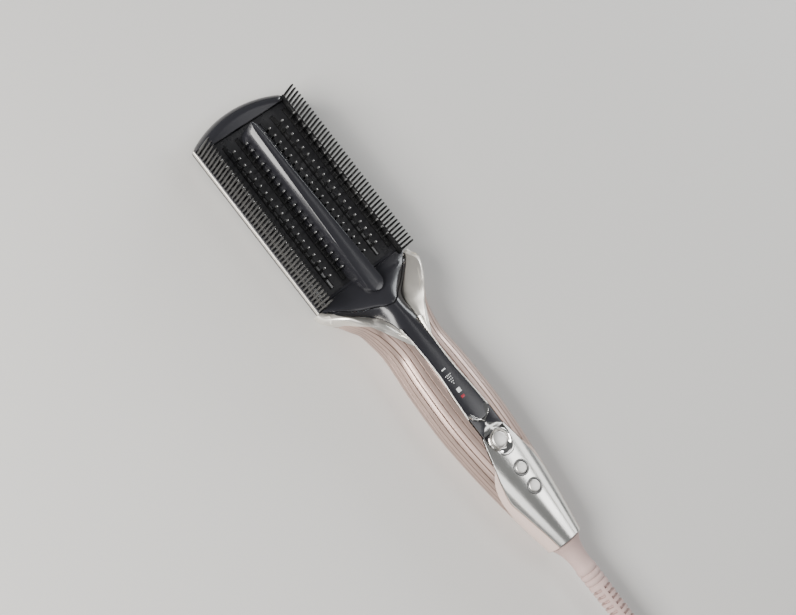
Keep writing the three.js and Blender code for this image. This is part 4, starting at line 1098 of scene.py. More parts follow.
def to_object(bm: bmesh.types.BMesh, name: str) -> bpy.types.Object:
    """Make a linked object.

    Args:
        bm: Its shape, used up.
        name: Its name.

    Returns:
        The object.
    """
    mesh = bpy.data.meshes.new(name)
    bm.to_mesh(mesh)
    bm.free()
    made = bpy.data.objects.new(name, mesh)
    bpy.context.scene.collection.objects.link(made)
    return made


def carved(bm: bmesh.types.BMesh, cutter: bmesh.types.BMesh) -> bmesh.types.BMesh:
    """Cut one body out of another.

    Args:
        bm: The body, used up.
        cutter: What is cut out of it, used up.

    Returns:
        What is left.
    """
    body, knife = to_object(bm, "carved_body"), to_object(cutter, "carving_knife")
    cut = body.modifiers.new("cut", "BOOLEAN")
    cut.operation = "DIFFERENCE"
    cut.solver = "EXACT"
    cut.use_self = False
    cut.object = knife
    graph = bpy.context.evaluated_depsgraph_get()
    made = bmesh.new()
    made.from_mesh(body.evaluated_get(graph).to_mesh())
    for done in (body, knife):
        mesh = done.data
        bpy.data.objects.remove(done)
        bpy.data.meshes.remove(mesh)
    return made


@dataclass
class Bench:
    """Finishes pieces: metres, material, shading, body, and the CAD nodes they stand for."""

    made: list[str] = field(default_factory=list)

    def finish(
        self,
        bm: bmesh.types.BMesh,
        name: str,
        finish: Finish,
        nodes: Sequence[str] = (),
        body: str = BODY,
        smooth_under: float = 38.0,
        second: Finish | None = None,
    ) -> bpy.types.Object:
        """Make a bmesh a finished piece of the comb.

        Args:
            bm: The shape in millimetres, used up.
            name: Name of the piece.
            finish: Its finish.
            nodes: CAD nodes that it stands for.
            body: CAD body that it rides on.
            smooth_under: Edges under this angle are shaded smooth.
            second: Finish of the faces with material index 1.

        Returns:
            The piece.
        """
        bmesh.ops.scale(bm, vec=(MM, MM, MM), verts=bm.verts[:])
        piece = to_object(bm, name)
        mesh = piece.data
        for one in (finish, second):
            if one is not None:
                mesh.materials.append(one.build())
        mesh.shade_smooth()
        mesh.set_sharp_from_angle(angle=math.radians(smooth_under))
        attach(piece, body)
        if nodes:
            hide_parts(*nodes)
        self.made.append(name)
        LOG.info("%s: %d faces, on %s", name, len(mesh.polygons), body)
        return piece


BENCH = Bench()


def head_outline(inset: float, steps: int = 40) -> list[tuple[float, float]]:
    """Outline of the head: straight sides, softened corners and an arc at the tip.

    Args:
        inset: How far the outline lies inside the widest one.
        steps: Stretches of the arc.

    Returns:
        Points (x, y) in order.
    """
    half = HEAD_HALF - inset
    near = NECK_Y + 0.6 + inset
    radius = (HEAD_HALF**2 + TIP_RISE**2) / (2 * TIP_RISE) - inset
    middle = TIP_Y - inset - radius
    across = [lerp(half, -half, i / steps) for i in range(steps + 1)]
    arc = [(x, middle + math.sqrt(radius**2 - x**2)) for x in across]
    corner = 1.2
    first, last = arc[0], arc[-1]
    soft_right = [(half, first[1] - corner), (half - 0.12, first[1] - 0.35)]
    soft_left = [(0.12 - half, last[1] - 0.35), (-half, last[1] - corner)]
    return [(-half, near), (half, near), *soft_right, *arc[1:-1], *soft_left]


def head_ring(z: float, inset: float) -> list[tuple[float, float, float]]:
    """The head's outline at a height."""
    return [(x, y, z) for x, y in head_outline(inset)]


@dataclass
class Head:
    """Back cover, side trim, and front frame with its shoulder and end cap."""

    cover_top: float = 4.8
    trim_top: float = 7.5
    frame_z: float = 7.8
    frame_top: float = 9.0
    cap_length: float = 10.7
    cap_height: float = 6.6
    cap_bulge: float = 0.92
    comb_edge: float = 26.5
    comb_near: float = 28.4
    comb_far: float = 131.6
    bulkhead: float = 1.4
    well_top: float = 2.1
    screws: tuple[tuple[float, float], ...] = ((-20.5, 38.5), (20.5, 38.5), (-20.5, 127), (20.5, 127))

    def back_cover(self) -> None:
        """The flat, softly rounded back of the head with its screw wells."""
        outer = [(0, 5.6), (0.12, 4.4), (0.7, 2.6), (1.6, 1.35), (2.8, 0.55), (4.0, 0.12)]
        outer.append((self.cover_top, 0))
        inner = [(1.8, 6.8), (2.4, 4.4), (3.6, 2.1), (9, 1.8)]
        solid = stacked([head_ring(z, inset) for z, inset in outer])
        hollow = stacked([head_ring(z, inset) for z, inset in inner])
        body = carved(solid, hollow)
        wells = [rod(WELL_RADIUS, -1, self.well_top, UP, Vector((x, y, 0)), 32) for x, y in self.screws]
        BENCH.finish(carved(body, gather(wells)), "back_cover", GLOSS_BLACK, ["head_back_cover"])

    def side_trim(self) -> None:
        """The bright line round the side of the head."""
        low, high = self.cover_top + GAP, self.trim_top
        levels = [(low, 0.25), (low + 0.3, 0), (high - 0.3, 0), (high, 0.25), (high, 1.6), (low, 1.6)]
        body = stacked([head_ring(z, inset) for z, inset in levels], closed=True)
        BENCH.finish(body, "side_trim", CHAMPAGNE, ["head_side_trim"])

    def rim(self) -> None:
        """The ledge that holds the heated plate."""
        low, high = self.frame_z, self.frame_top
        levels = [(low, 0.1), (low + 0.2, 0), (high - 0.25, 0), (high, 0.25), (high, 4.6), (low, 4.6)]
        body = stacked([head_ring(z, inset) for z, inset in levels], closed=True)
        BENCH.finish(body, "frame_rim", GLOSS_BLACK, ["head_front_frame"])

    def shoulder_point(self, s: float, t: float) -> Vector:
        """A point of the shoulder plate, which leaves room for the ends of both combs.

        Args:
            s: 0 on the left side and 1 on the right.
            t: 0 at the rear edge and 1 at the lip over the heated plate.

        Returns:
            The point.
        """
        x = (2 * s - 1) * (HEAD_HALF - 0.5)
        end = LIP_Y if abs(x) < self.comb_edge - 0.5 else self.comb_near
        y = lerp(SHOULDER_EDGE(abs(x)) + SEAM, end, t)
        lip = 0.45 * max(0.0, (t - 0.9) * 10) ** 2
        rear = 0.35 * max(0.0, 1 - t * 22) ** 2
        return roof(x, y, -lip - rear)

    def bulkhead_point(self, s: float, t: float) -> Vector:
        """A point of the wall under the lip.

        Args:
            s: 0 on the left side and 1 on the right.
            t: 0 on the frame and 1 under the lip.

        Returns:
            The point.
        """
        x = (2 * s - 1) * (HEAD_HALF - 3.3)
        top = roof(x, LIP_Y - 0.4, -1.0).z
        return Vector((x, LIP_Y - 0.2 + 0.15 * t, lerp(self.frame_z, top, t)))

    def shoulder(self) -> None:
        """The V-shaped plate between the combs and the funnel, with its drop to the heated plate."""
        plate = walled(sheet(80, 40, self.shoulder_point), SHELL_WALL, 0.2, axis_z=0.0)
        BENCH.finish(plate, "shoulder_plate", GLOSS_BLACK, ["head_front_frame"])
        front = sheet(40, 6, self.bulkhead_point)
        front.normal_update()
        bmesh.ops.solidify(front, geom=front.faces[:], thickness=self.bulkhead)
        bmesh.ops.recalc_face_normals(front, faces=front.faces[:])
        BENCH.finish(front, "shoulder_bulkhead", GLOSS_BLACK, ["head_front_frame"])

    def end_cap(self) -> None:
        """The convex cap that closes the head at its tip."""
        rings = []
        for share in (0, 0.25, 0.45, 0.62, 0.76, 0.87, 0.95, 0.99, 1):
            inset = TIP_RISE * (1 - math.sqrt(1 - share**2)) * self.cap_bulge
            rings.append(head_ring(self.frame_z + 0.2 + share * self.cap_height, inset))
        dome = stacked(rings)
        over = self.frame_z + self.cap_height + 7
        near = block((-40, 0, 0), (40, TIP_Y - self.cap_length, over))
        sides = []
        for side in (-1, 1):
            low, high = sorted((side * self.comb_edge, side * 33))
            sides.append(block((low, 0, self.frame_top), (high, self.comb_far, over)))
        body = carved(carved(dome, near), gather(sides))
        soften(body, 0.35, 60)
        BENCH.finish(body, "end_cap", GLOSS_BLACK, ["head_front_frame"], smooth_under=30)

    def build(self) -> None:
        """Make the head's shell."""
        self.back_cover()
        self.side_trim()
        self.rim()
        self.shoulder()
        self.end_cap()


@dataclass
class Combs:
    """The two fine combs on the long edges of the head."""

    outer: float = 29.3
    inner: float = 26.8
    wall: float = 1.1
    wall_top: float = 15.5
    foot_z: float = 9.3
    tip_z: float = 28.8
    start: float = 28.7
    end: float = 131.3
    pitch: float = 2.19
    thick: float = 1.25
    depth: float = 2.0

    def tooth(self, centre: float, y: float) -> bmesh.types.BMesh:
        """One blade tooth with softened edges and a rounded tip.

        Args:
            centre: X of its middle.
            y: Y of its middle.

        Returns:
            The tooth.
        """
        levels = [
            (self.foot_z, 1.0, 1.0),
            (lerp(self.foot_z, self.tip_z, 0.5), 0.93, 0.92),
            (self.tip_z - 1.2, 0.8, 0.78),
            (self.tip_z - 0.35, 0.62, 0.6),
            (self.tip_z, 0.28, 0.34),
        ]
        rings = []
        for z, wide, deep in levels:
            half, thick = self.depth / 2 * deep, self.thick / 2 * wide
            across, along = (0.22, 0.22) if z < self.tip_z else (0.4 * half, 0.5 * thick)
            low = [(-half, along - thick), (across - half, -thick)]
            low += [(-a, b) for a, b in reversed(low)]
            high = [(a, -b) for a, b in reversed(low)]
            rings.append([(centre + a, y + b, z) for a, b in low + high])
        return stacked(rings)

    def build(self) -> None:
        """Make both combs."""
        run = self.end - self.start - self.thick
        count = int(run / self.pitch) + 1
        first = self.start + self.thick / 2 + (run - (count - 1) * self.pitch) / 2
        for side, label in ((-1, "left"), (1, "right")):
            xs = sorted((side * self.inner, side * (self.inner + self.wall)))
            low, high = (xs[0], self.start, self.foot_z), (xs[1], self.end, self.wall_top)
            parts = [block(low, high, 0.2)]
            centre = side * (self.outer - self.depth / 2)
            parts += [self.tooth(centre, first + i * self.pitch) for i in range(count)]
            BENCH.finish(gather(parts), f"fine_comb_{label}", COMB_BLACK, [f"comb_{label}"])


@dataclass
class Pins:
    """Six rows of short pins that stand on strips in the heated plate."""

    rows: tuple[tuple[str, float], ...] = (("inner", 7.8), ("middle", 16.35), ("outer", 24.9))
    foot_z: float = 11.0
    strip_top: float = 11.8
    tip_z: float = 19.2
    first: float = 40.7
    last: float = 120.0
    pitch: float = 4.38
    strip: tuple[float, float] = (35.0, 125.3)
    strip_half: float = 1.1

    def pin(self, x: float, y: float) -> bmesh.types.BMesh:
        """One pin: a dark shank on a foot, with a bright rounded tip.

        Args:
            x: X of its axis.
            y: Y of its axis.

        Returns:
            The pin, whose tip's faces have material index 1.
        """
        tip = self.tip_z
        profile = [
            (0.0, self.foot_z + 0.3), (1.0, self.strip_top - 0.2), (0.72, self.strip_top + 0.5),
            (0.52, tip - 2.2), (0.62, tip - 1.7), (0.6, tip - 0.6), (0.36, tip - 0.12), (0.0, tip),
        ]
        bm = turned(profile, UP, Vector((x, y, 0)), 10)
        for face in bm.faces:
            if face.calc_center_median().z > tip - 1.95:
                face.material_index = 1
        return bm

    def build(self) -> None:
        """Make the six rows."""
        count = int((self.last - self.first) / self.pitch) + 1
        for place, offset in self.rows:
            for side, label in ((-1, "left"), (1, "right")):
                x = side * offset
                low = (x - self.strip_half, self.strip[0], self.foot_z)
                high = (x + self.strip_half, self.strip[1], self.strip_top)
                parts = [block(low, high, 0.15)]
                parts += [self.pin(x, self.first + i * self.pitch) for i in range(count)]
                node = f"pin_row_{label}_{place}"
                BENCH.finish(gather(parts), f"pins_{label}_{place}", COMB_BLACK, [node], second=PIN_TIP)


@dataclass
class MistBar:
    """The raised bar along the middle of the head, with mist outlets along its foot."""

    half: float = 6.0
    foot_z: float = PLATE_TOP + GAP
    top_z: float = 21.6
    near: float = 19.5
    far: float = 127.0
    crest: tuple[float, float] = (5.2, 1.5)
    round_end: float = 6.0
    outlets: int = 6
    outlet: tuple[float, float] = (5.0, 1.6)

    def ring(self, level: float, z: float, shrink: float = 0.0) -> list[tuple[float, float, float]]:
        """Outline of the bar at a height.

        Args:
            level: 0 at the foot's width and 1 at the crest's.
            z: Height of the ring.
            shrink: How far the ring lies inside.

        Returns:
            Points in order.
        """
        near, far = self.near + shrink, self.far - shrink
        steps = 10
        turns = [1 - math.cos(math.pi / 2 * i / steps) for i in range(steps + 1)]
        curve = [(t * self.round_end, math.sqrt(1 - (1 - t) ** 2)) for t in turns]
        side = [(near + reach, share) for reach, share in curve]
        straight = (near + self.round_end, far - self.round_end)
        side += [(lerp(*straight, i / 24), 1.0) for i in range(1, 24)]
        side += [(far - reach, share) for reach, share in reversed(curve)]
        right = []
        for y, share in side:
            crest = lerp(*self.crest, (y - near) / (far - near))
            wide = lerp(self.half, crest, level) - shrink
            right.append((max(0.02, wide) * max(share, 0.03), y, z))
        return right + [(-x, y, z) for x, y, _ in reversed(right)]

    def build(self) -> None:
        """Make the bar."""
        low, high = self.foot_z, self.top_z
        tall = high - low
        rings = [
            self.ring(0, low),
            self.ring(0.0, low + 0.3),
            self.ring(0.12, low + tall * 0.5),
            self.ring(0.36, high - 2.6),
            self.ring(0.62, high - 1.4),
            self.ring(0.9, high - 0.62),
            self.ring(1.0, high - 0.3),
            self.ring(1.02, high - 0.1, 0.12),
            self.ring(1.04, high, 0.4),
        ]
        first = LIP_Y + 8
        long, deep = self.outlet
        step = (self.far - 10 - first - long) / (self.outlets - 1)
        starts = [first + i * step for i in range(self.outlets)]
        slots = [block((-8, y, low + 1), (8, y + long, low + 1 + deep), 0.5) for y in starts]
        body = carved(stacked(rings), gather(slots))
        BENCH.finish(body, "mist_bar_body", GLOSS_BLACK, ["mist_bar"], smooth_under=34)


@dataclass
class Collar:
    """Satin collar: two raised wings beside the funnel, which narrow to a rim along the strip."""

    rear: tuple[float, float] = (41.5, 9.0)
    front: tuple[float, float] = (38.0, -0.3)
    wall: float = 2.4
    crest_angle: float = math.radians(45)
    hollow: float = 0.9
    rim_wall: float = 1.6
    rim_crown: float = 0.15

    def point(self, q: float, t: float) -> Vector:
        """A point of the right half.

        Args:
            q: 0 at the narrow end beside the strip, 1 on the side, 2 in the middle of the back.
            t: 0 at the rear edge, 0.5 on the crest, 1 at the front edge.

        Returns:
            The point.
        """
        share, turn = min(1.0, q), max(0.0, q - 1)
        near = behind(lerp(self.rear[0], self.rear[1], share))
        far = behind(lerp(self.front[0], self.front[1], share))
        low = grip_angle(near) + SEAM / HANDLE_TOP
        crest = max(self.crest_angle, low + 0.08)
        high = SKIN.angle_at(far, FUNNEL(far) + SEAM)

        def on_skin(y: float, angle: float) -> Vector:
            """Point of the skin, turned down towards the back."""
            return SKIN.point(y, lerp(angle, -math.pi / 2, turn))

        if t <= 0.5:
            return on_skin(lerp(near, far, t), lerp(low, crest, t * 2))
        top = on_skin(lerp(near, far, 0.5), crest)
        edge = Vector((FUNNEL(far) + SEAM, far, FUNNEL_Z(far)))
        edge = edge.lerp(on_skin(far, high), smooth(turn / 0.2))
        bevel = top.lerp(edge, t * 2 - 1)
        bevel.z -= self.hollow * math.sin(math.pi * (t * 2 - 1)) * smooth(share * 3)
        rounded = on_skin(lerp(near, far, t), lerp(crest, high, t * 2 - 1))
        return bevel.lerp(rounded, smooth(turn / 0.3))

    def rim_point(self, s: float, t: float) -> Vector:
        """A point of the right rim.

        Args:
            s: 0 beside the strip and 1 beside the grip.
            t: 0 at the strip's rear end and 1 under the wing.

        Returns:
            The point.
        """
        y = lerp(from_tail(80), behind(31), t)
        x = FUNNEL(y) + SEAM + s * (RIM_WIDTH - SEAM)
        return SKIN.over(x, y, self.rim_crown * math.sin(math.pi * s))

    def build(self) -> None:
        """Make both halves and the rims."""
        parts = []
        for side in (1, -1):
            mirror = Vector((side, 1, 1))

            def wing(s: float, t: float, mirror: Vector = mirror) -> Vector:
                """Point of this side's wing."""
                return self.point(2 * s, t) * mirror

            def rim(s: float, t: float, mirror: Vector = mirror) -> Vector:
                """Point of this side's rim."""
                return self.rim_point(s, t) * mirror

            parts.append(walled(sheet(160, 20, wing), self.wall, 0.18))
            parts.append(walled(sheet(5, 90, rim), self.rim_wall, 0.08))
        BENCH.finish(gather(parts), "collar", CHAMPAGNE, ["collar_trim"], smooth_under=42)


@dataclass
class DisplayStrip:
    """Glossy black funnel and strip down the top of the handle, with generic indicator lamps."""

    lamp_x: float = -1.5
    bar_y: float = -32.2
    fan: tuple[int, ...] = (4, 3, 3, 2, 1)
    fan_y: float = -35.8
    fan_pitch: tuple[float, float] = (1.05, 1.25)
    dot: float = 0.55
    square_y: float = -45.0
    red_y: float = -48.7

    def rear(self, share: float) -> float:
        """Y of the round rear end at a share of the half width."""
        return from_tail(80) - 5 * math.sqrt(max(0.0, 1 - share**2)) + 1

    def strip_point(self, s: float, t: float) -> Vector:
        """A point of the strip.

        Args:
            s: 0 on the left side and 1 on the right.
            t: 0 at the rear end and 1 under the shoulder plate.

        Returns:
            The point.
        """
        share = 2 * s - 1
        y = lerp(self.rear(share) + SEAM, behind(3), 1 - (1 - t) ** 1.4)
        return roof(share * FUNNEL(y), y)

    def lamp(self, x: float, y: float, wide: float, long: float) -> bmesh.types.BMesh:
        """One lamp, let into the strip.

        Args:
            x: X of its middle.
            y: Y of its middle.
            wide: Width across the strip.
            long: Length along the strip.

        Returns:
            The lamp.
        """
        bm = block((x - wide / 2, y - long / 2, -0.2), (x + wide / 2, y + long / 2, 0.03), 0.1)
        for vert in bm.verts:
            vert.co = roof(vert.co.x, vert.co.y, vert.co.z)
        return bm

    def lamps(self) -> None:
        """A bar, a fan of dots, a square and a red dot."""
        x = self.lamp_x
        across, along = self.fan_pitch
        whites = [self.lamp(x, self.bar_y, 2.6, 0.8)]
        for row, count in enumerate(self.fan):
            y = self.fan_y - row * along
            starts = [x + (i - (count - 1) / 2) * across for i in range(count)]
            whites += [self.lamp(start, y, self.dot, self.dot) for start in starts]
        whites.append(self.lamp(x, self.square_y, 2.3, 2.5))
        BENCH.finish(gather(whites), "lamps_white", LAMP_WHITE)
        BENCH.finish(self.lamp(x - 0.3, self.red_y, 2.2, 1.5), "lamp_red", LAMP_RED)

    def build(self) -> None:
        """Make the strip and its lamps."""
        body = walled(sheet(40, 130, self.strip_point), SHELL_WALL, 0.2, axis_z=0.0)
        side = HEAD_HALF + 1
        across = [lerp(-side, side, i / 48) for i in range(49)]
        plan = [(x, SHOULDER_EDGE(abs(x)) - SEAM) for x in across]
        plan += [(side, TIP_Y), (-side, TIP_Y)]
        body = carved(body, stacked([[(x, y, z) for x, y in plan] for z in (0.0, 40.0)]))
        BENCH.finish(body, "strip_cover", GLOSS_BLACK, ["display_strip"])
        self.lamps()


@dataclass
class Grips:
    """Ribbed rose-gold side panels with a slanted rear edge."""

    front: float = behind(9)
    rear: float = from_tail(26)
    corner: float = from_tail(51.5)
    wall: float = 2.0
    arc_start: float = 20.0
    front_fade: float = 16.0
    rear_fade: float = 10.0

    def top(self, y: float) -> float:
        """Find the panel's upper edge.

        Args:
            y: Place along the handle.

        Returns:
            The edge's angle round the section.
        """
        if y > from_tail(70):
            return grip_angle(y)
        upper = SKIN.angle_at(y, PLATE_EDGE(y) + SEAM)
        if y > self.corner:
            return upper
        t = (self.corner - y) / (self.corner - self.rear)
        return lerp(upper, SEAM_ANGLE + 0.12, t)

    def panel(
        self, side: int, across: int, along: int, grow: float = 0.0, lift: float = 0.0
    ) -> bmesh.types.BMesh:
        """The surface of one panel.

        Args:
            side: 1 for the right grip and -1 for the left.
            across: Faces round the section.
            along: Faces along the handle.
            grow: How far the panel reaches past its own edges.
            lift: How far it lies over the skin.

        Returns:
            The sheet without a wall.
        """
        low = SEAM_ANGLE - grow / GRIP_HALF

        def place(s: float, t: float) -> Vector:
            """A point of the panel.

            Args:
                s: 0 at the lower edge and 1 at the upper.
                t: 0 at the neck and 1 at the tail.

            Returns:
                The point.
            """
            y = lerp(self.front - SEAM + grow, self.rear - grow, t**1.25)
            angle = lerp(low, self.top(y) + grow / HANDLE_TOP, s)
            point = SKIN.point(y, angle, -lift)
            return Vector((side * point.x, point.y, point.z))

        return sheet(across, along, place)

    def spaces(self) -> bmesh.types.BMesh:
        """Both panels grown by the seam, to cut their places from the back shell.

        Returns:
            The two bodies in one mesh.
        """
        parts = []
        for side in (1, -1):
            bm = thickened(self.panel(side, 24, 70, 2 * SEAM, 2.0), 7.0)
            bmesh.ops.recalc_face_normals(bm, faces=bm.faces[:])
            parts.append(bm)
        return gather(parts)

    def _mark_arc(self, piece: bpy.types.Object) -> None:
        """Keep each point's arc length round the section, and where the ribs fade out.

        Args:
            piece: The finished panel, which gets the two attributes.
        """
        mesh = piece.data
        arc = mesh.attributes.new("arc", "FLOAT", "POINT")
        fade = mesh.attributes.new("fade", "FLOAT", "POINT")
        for i, vert in enumerate(mesh.vertices):
            x, y, z = abs(vert.co.x) / MM, vert.co.y / MM, vert.co.z / MM
            at = SKIN.section(round(y, 2))
            angle = math.atan2(z - at.widest, x)
            reach = lerp(at.half, at.top - at.widest, min(1.0, max(0.0, angle / (math.pi / 2))))
            arc.data[i].value = angle * reach + self.arc_start
            front = smooth((self.front + 2 - y) / self.front_fade)
            rear = smooth((y - self.rear + 4) / self.rear_fade)
            fade.data[i].value = front * rear

    def build(self) -> None:
        """Make both grips."""
        for side, label in ((-1, "left"), (1, "right")):
            body = walled(self.panel(side, 56, 190), self.wall, 0.2)
            piece = BENCH.finish(body, f"ribbed_grip_{label}", ROSE_RIBS, [f"grip_{label}"])
            self._mark_arc(piece)


@dataclass
class Handle:
    """Back shell and tail plate of the handle."""

    grips: Grips
    wall: float = 2.0
    screws: tuple[float, float] = (from_tail(100), from_tail(58))
    well_top: float = 1.95
    plug: tuple[float, float] = (3.0, 5.9)
    plug_seat: tuple[float, float, float] = (2.8, 14.2, 33)
    button_hole: float = 4.45

    def back_shell(self) -> None:
        """The smooth pale shell under the grips, closed round the tail."""
        low = SEAM_ANGLE - 2 * SEAM / GRIP_HALF

        def place(s: float, t: float) -> Vector:
            """A point of the shell.

            Args:
                s: 0 at the right upper edge and 1 at the left, round under the handle.
                t: 0 at the tail and 1 at the neck.

            Returns:
                The point.
            """
            y = lerp(TAIL_Y, self.grips.front - SEAM, t)
            upper = SKIN.angle_at(y, PLATE_EDGE(y))
            share = smooth((y - self.grips.corner - 3) / 6)
            top = lerp(upper, low, share)
            return SKIN.point(y, lerp(top, -math.pi - top, s))

        body = walled(sheet(96, 150, place), self.wall, 0.2)
        wells = [rod(WELL_RADIUS, -1, self.well_top, UP, Vector((0, y, 0)), 32) for y in self.screws]
        wells.append(rod(*self.plug_seat, ACROSS, Vector((0, *self.plug)), 40))
        body = carved(carved(body, self.grips.spaces()), gather(wells))
        BENCH.finish(body, "back_shell", PALE_ROSE, ["handle_back_shell"], smooth_under=34)

    def tail_plate(self, surround: Outline) -> None:
        """The satin plate on top of the tail, cut out for the surround and the buttons.

        Args:
            surround: Outline of the power surround, grown by a distance.
        """

        def place(s: float, t: float) -> Vector:
            """A point of the plate.

            Args:
                s: 0 on the left side and 1 on the right.
                t: 0 at the tail and 1 at the front.

            Returns:
                The point.
            """
            y = lerp(TAIL_Y, from_tail(68), t)
            return SKIN.over((2 * s - 1) * (PLATE_EDGE(y) - SEAM), y)

        body = walled(sheet(64, 110, place), self.wall, 0.22)
        cutters = [stacked([[(x, y, z) for x, y in surround(SEAM)] for z in (CUT_LOW, CUT_HIGH)])]
        for y in LEVEL_BUTTONS_Y:
            cutters.append(rod(self.button_hole, CUT_LOW, CUT_HIGH, UP, Vector((0, y, 0)), 64))
        body = carved(body, gather(cutters))
        BENCH.finish(body, "tail_cover", TAIL_SILVER, ["tail_plate"], smooth_under=34)

    def build(self, surround: Outline) -> None:
        """Make the shell, and the plate round the surround's outline."""
        self.back_shell()
        self.tail_plate(surround)


@dataclass
class Controls:
    """Chrome surround, power button, and two level buttons in their rings."""

    power_y: float = from_tail(62.4)
    power_radius: float = 4.3
    level_radius: float = 3.3
    ring_width: float = 0.55
    proud: float = 0.3
    waist: float = from_tail(69.2)
    edge: float = SURROUND_HALF + 0.6
    border: float = 0.75
    facet_depth: float = 1.6
    bed_depth: float = 1.4
    strip: DisplayStrip = field(default_factory=DisplayStrip)

    def outline(self, grow: float) -> list[tuple[float, float]]:
        """Outline of the surround, pointed towards the tail.

        Args:
            grow: How far it lies outside the surround's own.

        Returns:
            Points (x, y) in order.
        """
        half = SURROUND_HALF + grow
        side = [
            (half - 0.4, from_tail(79) + grow),
            (half - 0.7, from_tail(72)),
            (half + 0.1, from_tail(67)),
            (half + 0.3, from_tail(63)),
            (half - 0.8, from_tail(59)),
            (half - 3, from_tail(56)),
            (0.5, from_tail(53.6) - grow),
        ]
        return [*side, *[(-x, y) for x, y in reversed(side)]]

    def facets(self) -> bmesh.types.BMesh:
        """The crossed facets between the strip's end and the power button.

        Returns:
            The facets, with material index 1 on the dark ones at the sides.
        """
        bm = bmesh.new()
        half = self.edge
        across = [lerp(half, -half, i / 16) for i in range(17)]
        strip_half = STRIP_HALF + 1.9
        top = [(x, self.strip.rear(min(1.0, abs(x) / strip_half)) - SEAM) for x in across]
        low = [(-half, self.waist - 1.2), (half, self.waist - 1.2)]
        outer = bm.faces.new([bm.verts.new((x, y, 0.2)) for x, y in [*top, *low]])
        bmesh.ops.inset_individual(bm, faces=[outer], thickness=self.border, depth=0.0)
        bmesh.ops.poke(bm, faces=[outer], offset=-self.facet_depth)
        for face in bm.faces:
            middle = face.calc_center_median()
            if len(face.verts) == 3 and abs(middle.x) > 0.28 * half and middle.y < self.waist + 6:
                face.material_index = 1
        bmesh.ops.subdivide_edges(bm, edges=bm.edges[:], cuts=3, use_grid_fill=True)
        for vert in bm.verts:
            vert.co = SKIN.over(vert.co.x, vert.co.y, vert.co.z)
        bmesh.ops.triangulate(bm, faces=bm.faces[:])
        return thickened(bm, 1.0)

    def bed(self) -> bmesh.types.BMesh:
        """The dark bed that shows in the corners between the facets and the pointed frame.

        Returns:
            The bed, with material index 1.
        """

        def place(s: float, t: float) -> Vector:
            """A point of the bed.

            Args:
                s: 0 on the left side and 1 on the right.
                t: 0 under the power button and 1 under the facets.

            Returns:
                The point.
            """
            y = lerp(self.power_y - 5.5, self.waist + 2, t)
            return SKIN.over((2 * s - 1) * (self.edge - 0.6), y, -self.bed_depth)

        bm = sheet(16, 20, place)
        for face in bm.faces:
            face.material_index = 1
        hole = rod(self.power_radius + GAP, CUT_LOW, CUT_HIGH, UP, Vector((0, self.power_y, 0)), 56)
        return carved(thickened(bm, 0.6), hole)

    def pointed(self, angle: float) -> float:
        """Outline of the pointed frame round the power button.

        Args:
            angle: Angle from +X towards the neck.

        Returns:
            The frame's reach from the button's middle.
        """
        point = smooth((-math.sin(angle) - 0.35) / 0.65)
        flat = smooth((math.sin(angle) - 0.3) / 0.7)
        return SURROUND_HALF - 0.1 + 2.6 * point**2 - 0.25 * flat

    def frame_ring(self) -> bmesh.types.BMesh:
        """The pointed frame, raised at its outer edge and sloping in towards the button.

        Returns:
            The frame.
        """
        hole = self.power_radius + GAP

        def place(s: float, t: float) -> Vector:
            """A point of the frame.

            Args:
                s: Share of the turn round the button.
                t: 0 at the button and 1 at the frame's outer edge.

            Returns:
                The point.
            """
            angle = 2 * math.pi * s
            reach = lerp(hole, self.pointed(angle), t)
            x, y = reach * math.cos(angle), self.power_y + reach * math.sin(angle)
            lift = lerp(-1.1, 0.38, smooth(t * 1.25)) - 0.2 * smooth((t - 0.85) / 0.15)
            return SKIN.over(x, y, lift)

        bm = sheet(120, 10, place)
        bmesh.ops.remove_doubles(bm, verts=bm.verts[:], dist=1e-4)
        return thickened(bm, 1.0)

    def button(self, radius: float, y: float, name: str, body: str, crown: float) -> None:
        """A round button with a crowned face and a soft edge.

        Args:
            radius: Radius of its cap.
            y: Place along the handle.
            name: Name of the piece.
            body: CAD body that it rides on.
            crown: How far its middle stands over its edge.
        """
        top = SKIN.section(y).top + self.proud
        foot = top - 3.3
        cap = [(radius - 0.05, top - 2.7), (radius, top - crown - 0.5), (radius - 0.12, top - crown - 0.2)]
        turns = [math.radians(90 * i / 8) for i in range(8)]
        arc = [((radius - 0.4) * math.cos(a), top - crown + crown * math.sin(a)) for a in turns]
        profile = [(0, foot), (radius + 0.6, foot), (radius + 0.6, top - 2.7), *cap, *arc, (0, top)]
        bm = turned(profile, UP, Vector((0, y, 0)), 56)
        BENCH.finish(bm, f"{name}_cap", BUTTON_SILVER, [name], body, smooth_under=50)

    def ring(self, y: float, name: str) -> None:
        """The grey ring round a level button.

        Args:
            y: Place along the handle.
            name: The CAD node that it stands for.
        """
        top = SKIN.section(y).top
        inner = self.level_radius + GAP
        outer = inner + self.ring_width
        profile = [
            (inner, top - 2),
            (outer, top - 2),
            (outer, top - 0.12),
            (outer - 0.16, top + 0.08),
            (inner + 0.16, top + 0.08),
            (inner, top - 0.12),
            (inner, top - 2),
        ]
        bm = turned(profile, UP, Vector((0, y, 0)), 56)
        BENCH.finish(bm, f"{name}_trim", RING_GREY, [name], smooth_under=40)

    def build(self) -> None:
        """Make the surround, the buttons and their rings."""
        whole = gather([self.facets(), self.frame_ring(), self.bed()])
        BENCH.finish(whole, "surround", CHROME, ["power_surround"], smooth_under=20, second=GLOSS_BLACK)
        self.button(self.power_radius, self.power_y, "power_button", "power_button_body", 0.5)
        levels = list(zip(("up", "down"), LEVEL_BUTTONS_Y))
        for label, y in levels:
            self.button(self.level_radius, y, f"level_{label}_button", f"level_{label}_body", 0.2)
        for label, y in levels:
            self.ring(y, f"level_{label}_ring")


